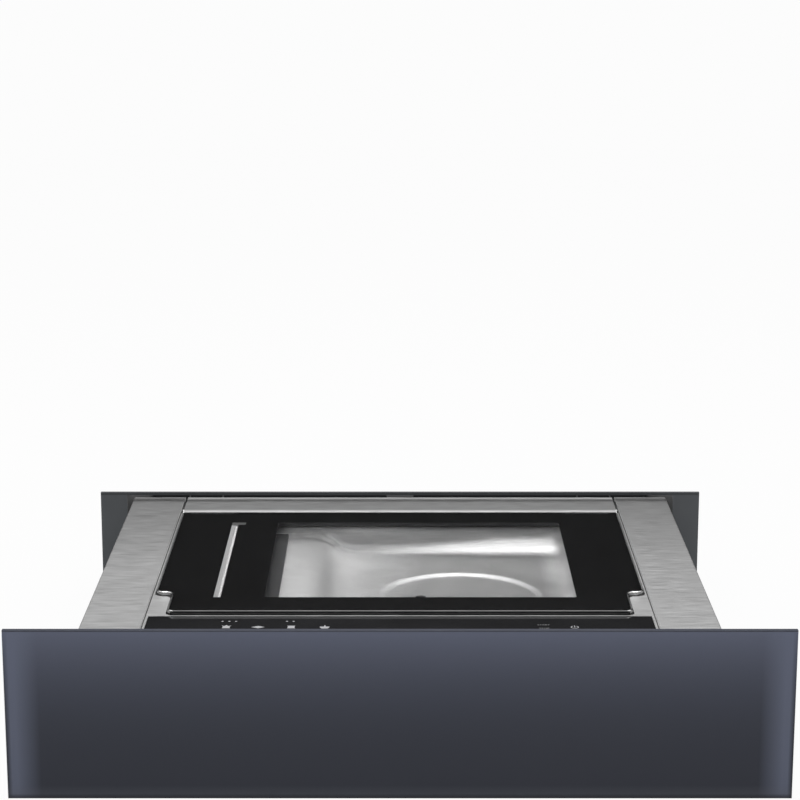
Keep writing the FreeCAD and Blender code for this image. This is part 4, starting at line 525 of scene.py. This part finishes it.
# Painted shade inside the housing, on the top bar, towards the deck's rear and on the chamber's floor and
# walls; painted highlights on the hinge cover's edges.
painted_light_by_place("housing_paint", grey(0.13), housing_inside_shade)
painted_light_by_place("housing_paint", grey(0.5), top_bar_shade)
painted_light_by_place("stainless", grey(0.66), deck_rear_shade)
painted_light_by_place("cover_steel", grey(0.66), deck_rear_shade)
painted_light_by_place("cover_steel", grey(2.1), cover_highlights)
painted_light_by_place("chamber_steel", grey(0.47), chamber_floor_shade)
painted_light_by_place("chamber_steel", grey(0.62), chamber_wall_shade)

# Nodes whose finish is not the one that their slot in the record names.
OWN_FINISH = {
    "chamber_basin": "chamber_steel",
    "hinge_cover": "cover_steel",
    "hinge_pins": "polished_steel",
    # The suction nipple is dark, as painted shade in its hole.
    "suction_nipple": "painted_shade_steel",
    "runner_fixed_right": "black_zinc",
    "runner_fixed_left": "black_zinc",
}
slot_of = {entry["node"]: entry["material_slot"] for entry in frame["record"]["subparts"]}
for node_name, thing in frame["nodes"].items():
    thing.data.materials.clear()
    thing.data.materials.append(FINISHES[OWN_FINISH.get(node_name, slot_of[node_name])])


# Mesh pieces

def piece(name, mesh, body, slot, *finish_names):
    """A mesh as a piece of the object that rides on a body."""
    thing = bpy.data.objects.new(name, mesh)
    scene.collection.objects.link(thing)
    for finish_name in finish_names:
        mesh.materials.append(FINISHES[finish_name])
    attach(thing, body)
    return thing


def mesh_of(curve):
    """The mesh of a curve or of letters, which are then deleted."""
    holder = bpy.data.objects.new("holder", curve)
    mesh = bpy.data.meshes.new_from_object(holder)
    bpy.data.objects.remove(holder)
    bpy.data.curves.remove(curve)
    return mesh


def closed_mesh(name, shell):
    """A bmesh turned into a mesh, with its faces looking outwards."""
    bmesh.ops.recalc_face_normals(shell, faces=shell.faces)
    mesh = bpy.data.meshes.new(name)
    shell.to_mesh(mesh)
    shell.free()
    return mesh


def filled(loops, low, high):
    """A flat plate between two levels from closed outlines; inner ones become holes."""
    curve = bpy.data.curves.new("outline", "CURVE")
    curve.dimensions = "2D"
    curve.fill_mode = "BOTH"
    curve.extrude = (high - low) / 2
    for loop in loops:
        line = curve.splines.new("POLY")
        line.points.add(len(loop) - 1)
        for point, (x, y) in zip(line.points, loop):
            point.co = (x, y, 0, 1)
        line.use_cyclic_u = True
    mesh = mesh_of(curve)
    for vertex in mesh.vertices:
        vertex.co.z += (low + high) / 2
    return mesh


def joined(meshes):
    whole = bmesh.new()
    for mesh in meshes:
        whole.from_mesh(mesh)
        bpy.data.meshes.remove(mesh)
    result = bpy.data.meshes.new("joined")
    whole.to_mesh(result)
    whole.free()
    return result


def in_metres(points):
    return [(x * MM, y * MM) for x, y in points]


def arc(centre, radius, start, end, steps=8):
    """Points on a circle, from one angle to another in degrees."""
    angles = [math.radians(start + (end - start) * step / steps) for step in range(steps + 1)]
    return [(centre[0] + radius * math.cos(angle), centre[1] + radius * math.sin(angle)) for angle in angles]


def disc(centre, radius, steps):
    return arc(centre, radius, 0, 360 - 360 / steps, steps - 1)


def rounded_rectangle(left, front, right, rear, radius):
    corners = [
        ((right - radius, rear - radius), 0),
        ((left + radius, rear - radius), 90),
        ((left + radius, front + radius), 180),
        ((right - radius, front + radius), 270),
    ]
    return [point for centre, start in corners for point in arc(centre, radius, start, start + 90)]


# The lid's plan steps in at its front corners. The radii are those of its glass.
LID_STEP_WIDTH = 13.5 * MM
LID_STEP_LENGTH = 49 * MM
LID_STEP_RADIUS = 6 * MM
LID_CORNER_RADIUS = 5 * MM


def lid_outline(inset):
    """The lid's plan, drawn in by an inset, clockwise from the right rear corner."""
    side = lid_high.x - inset
    narrow_side = side - LID_STEP_WIDTH
    front = lid_low.y + inset
    step = front + LID_STEP_LENGTH
    outer = LID_STEP_RADIUS - inset
    inner = LID_STEP_RADIUS + inset
    corner = LID_CORNER_RADIUS - inset
    half = [(side, lid_high.y - inset)]
    half += arc((side - outer, step + outer), outer, 0, -90)
    half += arc((narrow_side + inner, step - inner), inner, 90, 180)
    half += arc((narrow_side - corner, front + corner), corner, 0, -90)
    return half + [(-x, y) for x, y in reversed(half)]


PRINT_INSET = 0.5 * MM
PRINT_DEPTH = (0.02 * MM, 0.06 * MM)
WINDOW_FRONT = -301.3 * MM
WINDOW_REAR = -84.4 * MM
WINDOW_LEFT = -108.6 * MM
WINDOW_RIGHT = 141.6 * MM
WINDOW_RADIUS = 2 * MM
SLOT_LEFT = -149.5 * MM
SLOT_RIGHT = -143.8 * MM
SLOT_REAR_RIGHT = -137.3 * MM
SLOT_STEP = -91.5 * MM
SLOT_STEP_CHAMFER = 1 * MM


def slot_outline():
    """The narrow opening over the counter bar, wider at its rear end."""
    return [
        (SLOT_LEFT, WINDOW_REAR),
        (SLOT_LEFT, WINDOW_FRONT),
        (SLOT_RIGHT, WINDOW_FRONT),
        (SLOT_RIGHT, SLOT_STEP - SLOT_STEP_CHAMFER),
        (SLOT_RIGHT + SLOT_STEP_CHAMFER, SLOT_STEP),
        (SLOT_REAR_RIGHT - SLOT_STEP_CHAMFER, SLOT_STEP),
        (SLOT_REAR_RIGHT, SLOT_STEP + SLOT_STEP_CHAMFER),
        (SLOT_REAR_RIGHT, WINDOW_REAR),
    ]


def lid_print():
    """Black enamel on the glass's underside, open over the chamber and the counter bar."""
    window = rounded_rectangle(WINDOW_LEFT, WINDOW_FRONT, WINDOW_RIGHT, WINDOW_REAR, WINDOW_RADIUS)
    low, high = [lid_low.z + depth for depth in PRINT_DEPTH]
    mesh = filled([lid_outline(PRINT_INSET), window, slot_outline()], low, high)
    piece("lid_print", mesh, "lid", "lid_glass", "black_enamel")


# The rim's section in millimetres: inset from the lid's plan, and height over the lid's top.
RIM_BEVEL = [(0.70, 0.02), (0.55, 0.03), (0.05, -0.42), (-0.18, -0.66)]
RIM_OUTSIDE = [(-0.25, -0.95), (-0.25, -4.6), (-0.18, -4.9), (0.10, -5.1)]
RIM_INSIDE = [(0.10, -0.9), (0.70, -0.35)]
RIM_FRONT_WIDTH = 0.8 * MM


def lid_rim():
    """A polished steel rim around the glass's edge, dark along its straight front as painted shade."""
    shell = bmesh.new()
    rings = [
        [shell.verts.new((x, y, lid_high.z + height * MM)) for x, y in lid_outline(inset * MM)]
        for inset, height in RIM_BEVEL + RIM_OUTSIDE + RIM_INSIDE
    ]
    front = lid_low.y + RIM_FRONT_WIDTH
    for ring, following in zip(rings, rings[1:] + rings[:1]):
        for k in range(len(ring)):
            face = shell.faces.new((ring[k - 1], ring[k], following[k], following[k - 1]))
            # The straight front faces take the dark steel, as painted shade.
            face.material_index = int(ring[k - 1].co.y < front and ring[k].co.y < front)
    mesh = closed_mesh("lid_rim", shell)
    piece("lid_rim", mesh, "lid", "lid_glass", "polished_steel", "painted_shade_steel")


def crowned(inner, outer, base, crown, depth):
    """A strip's section (x, z): flat sides and a gently rounded top."""
    middle = (inner + outer) / 2
    half = (outer - inner) / 2
    shares = [step / 4 for step in range(-4, 5)]
    top = [(middle + half * share, base + crown * (1 - share ** 2)) for share in shares]
    return [(inner, base - depth), *top, (outer, base - depth)]


def strips_mesh(name, section, stations, sides):
    """Strips of one section that run along Y, on the right (1), the left (-1) or both."""
    shell = bmesh.new()
    for side in sides:
        ends = [[shell.verts.new((side * x, y, z)) for x, z in section] for y in stations]
        for near, far in zip(ends, ends[1:]):
            for k in range(len(section)):
                shell.faces.new((near[k - 1], near[k], far[k], far[k - 1]))
        shell.faces.new(ends[0])
        shell.faces.new(ends[-1])
    return closed_mesh(name, shell)


STRIP_MIDDLE = -200 * MM
RAIL_FRONT = rail_low.y + 1 * MM
RAIL_FACE = rail_low.x + 0.05 * MM
BEAD_WIDTH = 0.9 * MM
RAIL_EDGE_WIDTH = 0.7 * MM
STRIP_DEPTH = 0.6 * MM
LIP_OVERLAP = 0.4 * MM
LIP_REACH = 2.3 * MM
LIP_SIDE_HEIGHT = 0.5 * MM
LIP_CROWN = 0.6 * MM
LIP_DROP = 0.75 * MM


def joint_shade_beads():
    """Black beads in the joints between the deck and the rails, as a painted shadow line."""
    section = crowned(RAIL_FACE - BEAD_WIDTH, RAIL_FACE, deck_top.z, 0.10 * MM, STRIP_DEPTH)
    mesh = strips_mesh("joint_shade_beads", section, (RAIL_FRONT, STRIP_MIDDLE, deck_top.y), sides=(1, -1))
    piece("joint_shade_beads", mesh, "drawer", "black_rubber", "joint_shade_black")


def rail_edges():
    """The rails' polished inner edges, in a paler steel as a painted highlight."""
    section = crowned(RAIL_FACE, RAIL_FACE + RAIL_EDGE_WIDTH, deck_top.z, 0.08 * MM, STRIP_DEPTH)
    rear = rail_high.y - 0.5 * MM
    mesh = strips_mesh("rail_edges", section, (RAIL_FRONT, STRIP_MIDDLE, rear), sides=(1, -1))
    piece("rail_edges", mesh, "drawer", "stainless", "rail_edge_highlight")


def counter_lip():
    """The counter bar's soft lip, which shows through the slot."""
    side = counter_bar_high.x
    base = counter_bar_high.z - LIP_DROP
    section = crowned(side - LIP_OVERLAP, side + LIP_REACH, base, LIP_CROWN, LIP_SIDE_HEIGHT)
    stations = (counter_bar_low.y + 0.6 * MM, STRIP_MIDDLE, counter_bar_high.y - 1 * MM)
    mesh = strips_mesh("counter_lip", section, stations, sides=(1,))
    piece("counter_lip", mesh, "lid", "white_silicone", "white_silicone")


# Touch symbols, in millimetres on the control strip.
DOT_RADIUS = 0.9
DOT_ROW = -357.8
BAG_DOTS = (-137.8, -132.5, -127.3)
JAR_DOTS = (-87.7, -82.6)
SEAL_SIGN = [(-114.6, -371.8), (-109.4, -374.6), (-104.2, -371.8), (-109.4, -369.0)]
BAG_SIGN = [(-137.2, -374.6), (-130.8, -374.6), (-131.6, -371.2), (-130.2, -367.8), (-132.3, -369.4),
            (-134.0, -367.0), (-135.8, -369.4), (-137.8, -367.8), (-136.4, -371.2)]
JAR_SIGN = [(-87.1, -374.8), (-80.7, -374.8), (-81.6, -371.6), (-80.7, -368.6), (-87.1, -368.6),
            (-86.2, -371.6)]
DISH_SIGN = [(-61.8, -372.4), (-60.4, -375.2), (-55.8, -375.2), (-54.4, -372.4), (-54.4, -370.6),
             (-57.2, -370.6), (-57.6, -368.6), (-57.6, -367.2), (-58.4, -367.2), (-58.4, -368.6),
             (-58.8, -370.6), (-61.8, -370.6)]
POWER_CENTRE = (134.7, -372.0)
POWER_RADII = (3.1, 2.4)
POWER_STEM = (134.35, -372.5, 135.05, -368.2, 0.2)


def control_symbols():
    """Touch symbols on the control strip: bag levels, seal, jar levels, dish and power."""
    outlines = [disc((x, DOT_ROW), DOT_RADIUS, 14) for x in BAG_DOTS + JAR_DOTS]
    outlines += [SEAL_SIGN, BAG_SIGN, JAR_SIGN, DISH_SIGN]
    outer, inner = POWER_RADII
    outlines.append(arc(POWER_CENTRE, outer, 120, 420, 24) + arc(POWER_CENTRE, inner, 420, 120, 24))
    outlines.append(rounded_rectangle(*POWER_STEM))
    low, high = control_top - 0.02 * MM, control_top + 0.03 * MM
    mesh = joined([filled([in_metres(outline)], low, high) for outline in outlines])
    piece("control_symbols", mesh, "drawer", "control_glass", "symbol_print")


WORD_HEIGHT = 3.3 * MM
WORD_CENTRE_X = 111 * MM
WORD_LINES = {"START": -366.5 * MM, "STOP": -375.0 * MM}


def control_words():
    """START and STOP, faint and unlit."""
    for word, y in WORD_LINES.items():
        letters = bpy.data.curves.new(word, "FONT")
        letters.body = word
        letters.size = WORD_HEIGHT
        letters.align_x = "CENTER"
        letters.align_y = "CENTER"
        letters.extrude = 0.02 * MM
        mesh = mesh_of(letters)
        for vertex in mesh.vertices:
            vertex.co += Vector((WORD_CENTRE_X, y, control_top + 0.01 * MM))
        piece(word.lower() + "_word", mesh, "drawer", "control_glass", "faint_print")


lid_print()
lid_rim()
joint_shade_beads()
rail_edges()
counter_lip()
control_symbols()
control_words()


# Camera, floor and light

# The lens, height and tilt were fitted to the corners of the panel, the housing and the lid.
CAMERA_TILT = 12.832

camera = bpy.data.objects.new("camera", bpy.data.cameras.new("camera"))
scene.collection.objects.link(camera)
camera.data.lens = 102.67
camera.data.sensor_width = 36
camera.data.clip_start = 0.05
camera.data.clip_end = 50
camera.location = (0, -2.0472, 0.6826)
camera.rotation_euler = (math.radians(90 - CAMERA_TILT), 0, 0)
scene.camera = camera

scene.view_settings.view_transform = "Standard"

WHITE = rgba(grey(1.0))
ROOM_HORIZON = (0.018, 0.018, 0.019)
ROOM_CEILING = (0.95, 0.95, 0.96)
ROOM_FADE = (0.36, 0.75)
FLOOR_HALF_WIDTH = 12.0
FLOOR_LEVEL = -0.2 * MM
FLOOR_WHITE_SHARE = 0.96
SCREEN_RADIUS = 4.0
SCREEN_LEVELS = (0.02, 5.0)
SCREEN_FADE = (1.5, 4.6)
SCREEN_SIDES = 64


def seen_directly(tree):
    """1 for rays that show the background: from the camera, off metal and through glass."""
    rays = put(tree, "LightPath").outputs
    mirrored = maths(tree, "MAXIMUM", rays["Is Glossy Ray"], rays["Is Transmission Ray"])
    return maths(tree, "MAXIMUM", rays["Is Camera Ray"], mirrored)


def pale_floor():
    """A pale floor that is seen as white, and that takes the object's shadow."""
    half = FLOOR_HALF_WIDTH
    corners = [(-half, -half, 0), (half, -half, 0), (half, half, 0), (-half, half, 0)]
    mesh = bpy.data.meshes.new("floor")
    mesh.from_pydata(corners, [], [(0, 1, 2, 3)])
    made, tree, shader = new_material("floor")
    set_inputs(tree, shader, {"Base Color": rgba(grey(0.45)), "Roughness": 0.9})
    share = times(tree, seen_directly(tree), FLOOR_WHITE_SHARE)
    mix_surface(tree, share, shader, put(tree, "Emission", {"Color": WHITE, "Strength": 1.0}))
    mesh.materials.append(made)
    floor = bpy.data.objects.new("floor", mesh)
    floor.location.z = FLOOR_LEVEL
    scene.collection.objects.link(floor)


def soft_world():
    """A room that is white where it is seen, and lights the object softly from above."""
    world = bpy.data.worlds.new("studio")
    world.use_nodes = True
    scene.world = world
    tree = world.node_tree
    height = axes(tree, put(tree, "TexCoord").outputs["Generated"])[2]
    room = blend_colours(tree, ramp(tree, height, *ROOM_FADE), rgba(ROOM_HORIZON), rgba(ROOM_CEILING))
    colour = blend_colours(tree, seen_directly(tree), room, WHITE)
    set_inputs(tree, tree.nodes["Background"], {"Color": colour, "Strength": 1.0})


def black_screens():
    """Black studio screens around the part that keep its glass dark. Only mirrored rays meet them."""
    shell = bmesh.new()
    circle = disc((0, 0), SCREEN_RADIUS, SCREEN_SIDES)
    lower, upper = [[shell.verts.new((x, y, z)) for x, y in circle] for z in SCREEN_LEVELS]
    for k in range(SCREEN_SIDES):
        shell.faces.new((lower[k - 1], lower[k], upper[k], upper[k - 1]))
    mesh = bpy.data.meshes.new("black_screens")
    shell.to_mesh(mesh)
    shell.free()
    made, tree, shader = new_material("black_screen")
    set_inputs(tree, shader, {"Base Color": rgba(grey(0.02)), "Roughness": 1.0})
    level = axes(tree, object_place(tree))[2]
    unmirrored = maths(tree, "SUBTRACT", 1.0, put(tree, "LightPath").outputs["Glossy Depth"], clamp=True)
    faded = maths(tree, "MAXIMUM", ramp(tree, level, *SCREEN_FADE), unmirrored)
    mix_surface(tree, faded, shader, put(tree, "BsdfTransparent"))
    mesh.materials.append(made)
    screens = bpy.data.objects.new("black_screens", mesh)
    scene.collection.objects.link(screens)
    screens.visible_camera = False
    screens.visible_diffuse = False
    screens.visible_shadow = False


def soft_light(name, place, target, size, watts):
    """A rectangular lamp that looks at its target."""
    lamp = bpy.data.lights.new(name, "AREA")
    lamp.shape = "RECTANGLE"
    lamp.size, lamp.size_y = size
    lamp.energy = watts
    holder = bpy.data.objects.new(name, lamp)
    holder.location = place
    holder.rotation_euler = (Vector(target) - Vector(place)).to_track_quat("-Z", "Y").to_euler()
    holder.visible_camera = False
    scene.collection.objects.link(holder)


pale_floor()
soft_world()
black_screens()
soft_light("overhead", place=(0, 0.15, 1.5), target=(0, 0.15, 0), size=(1.4, 1.5), watts=21)
soft_light("rear", place=(0, 1.3, 1.15), target=(0, -0.3, 0.1), size=(1.6, 0.35), watts=1.4)
soft_light("near_front", place=(0, -0.75, 0.62), target=(0, -0.36, 0.1), size=(1.0, 0.12), watts=1.2)
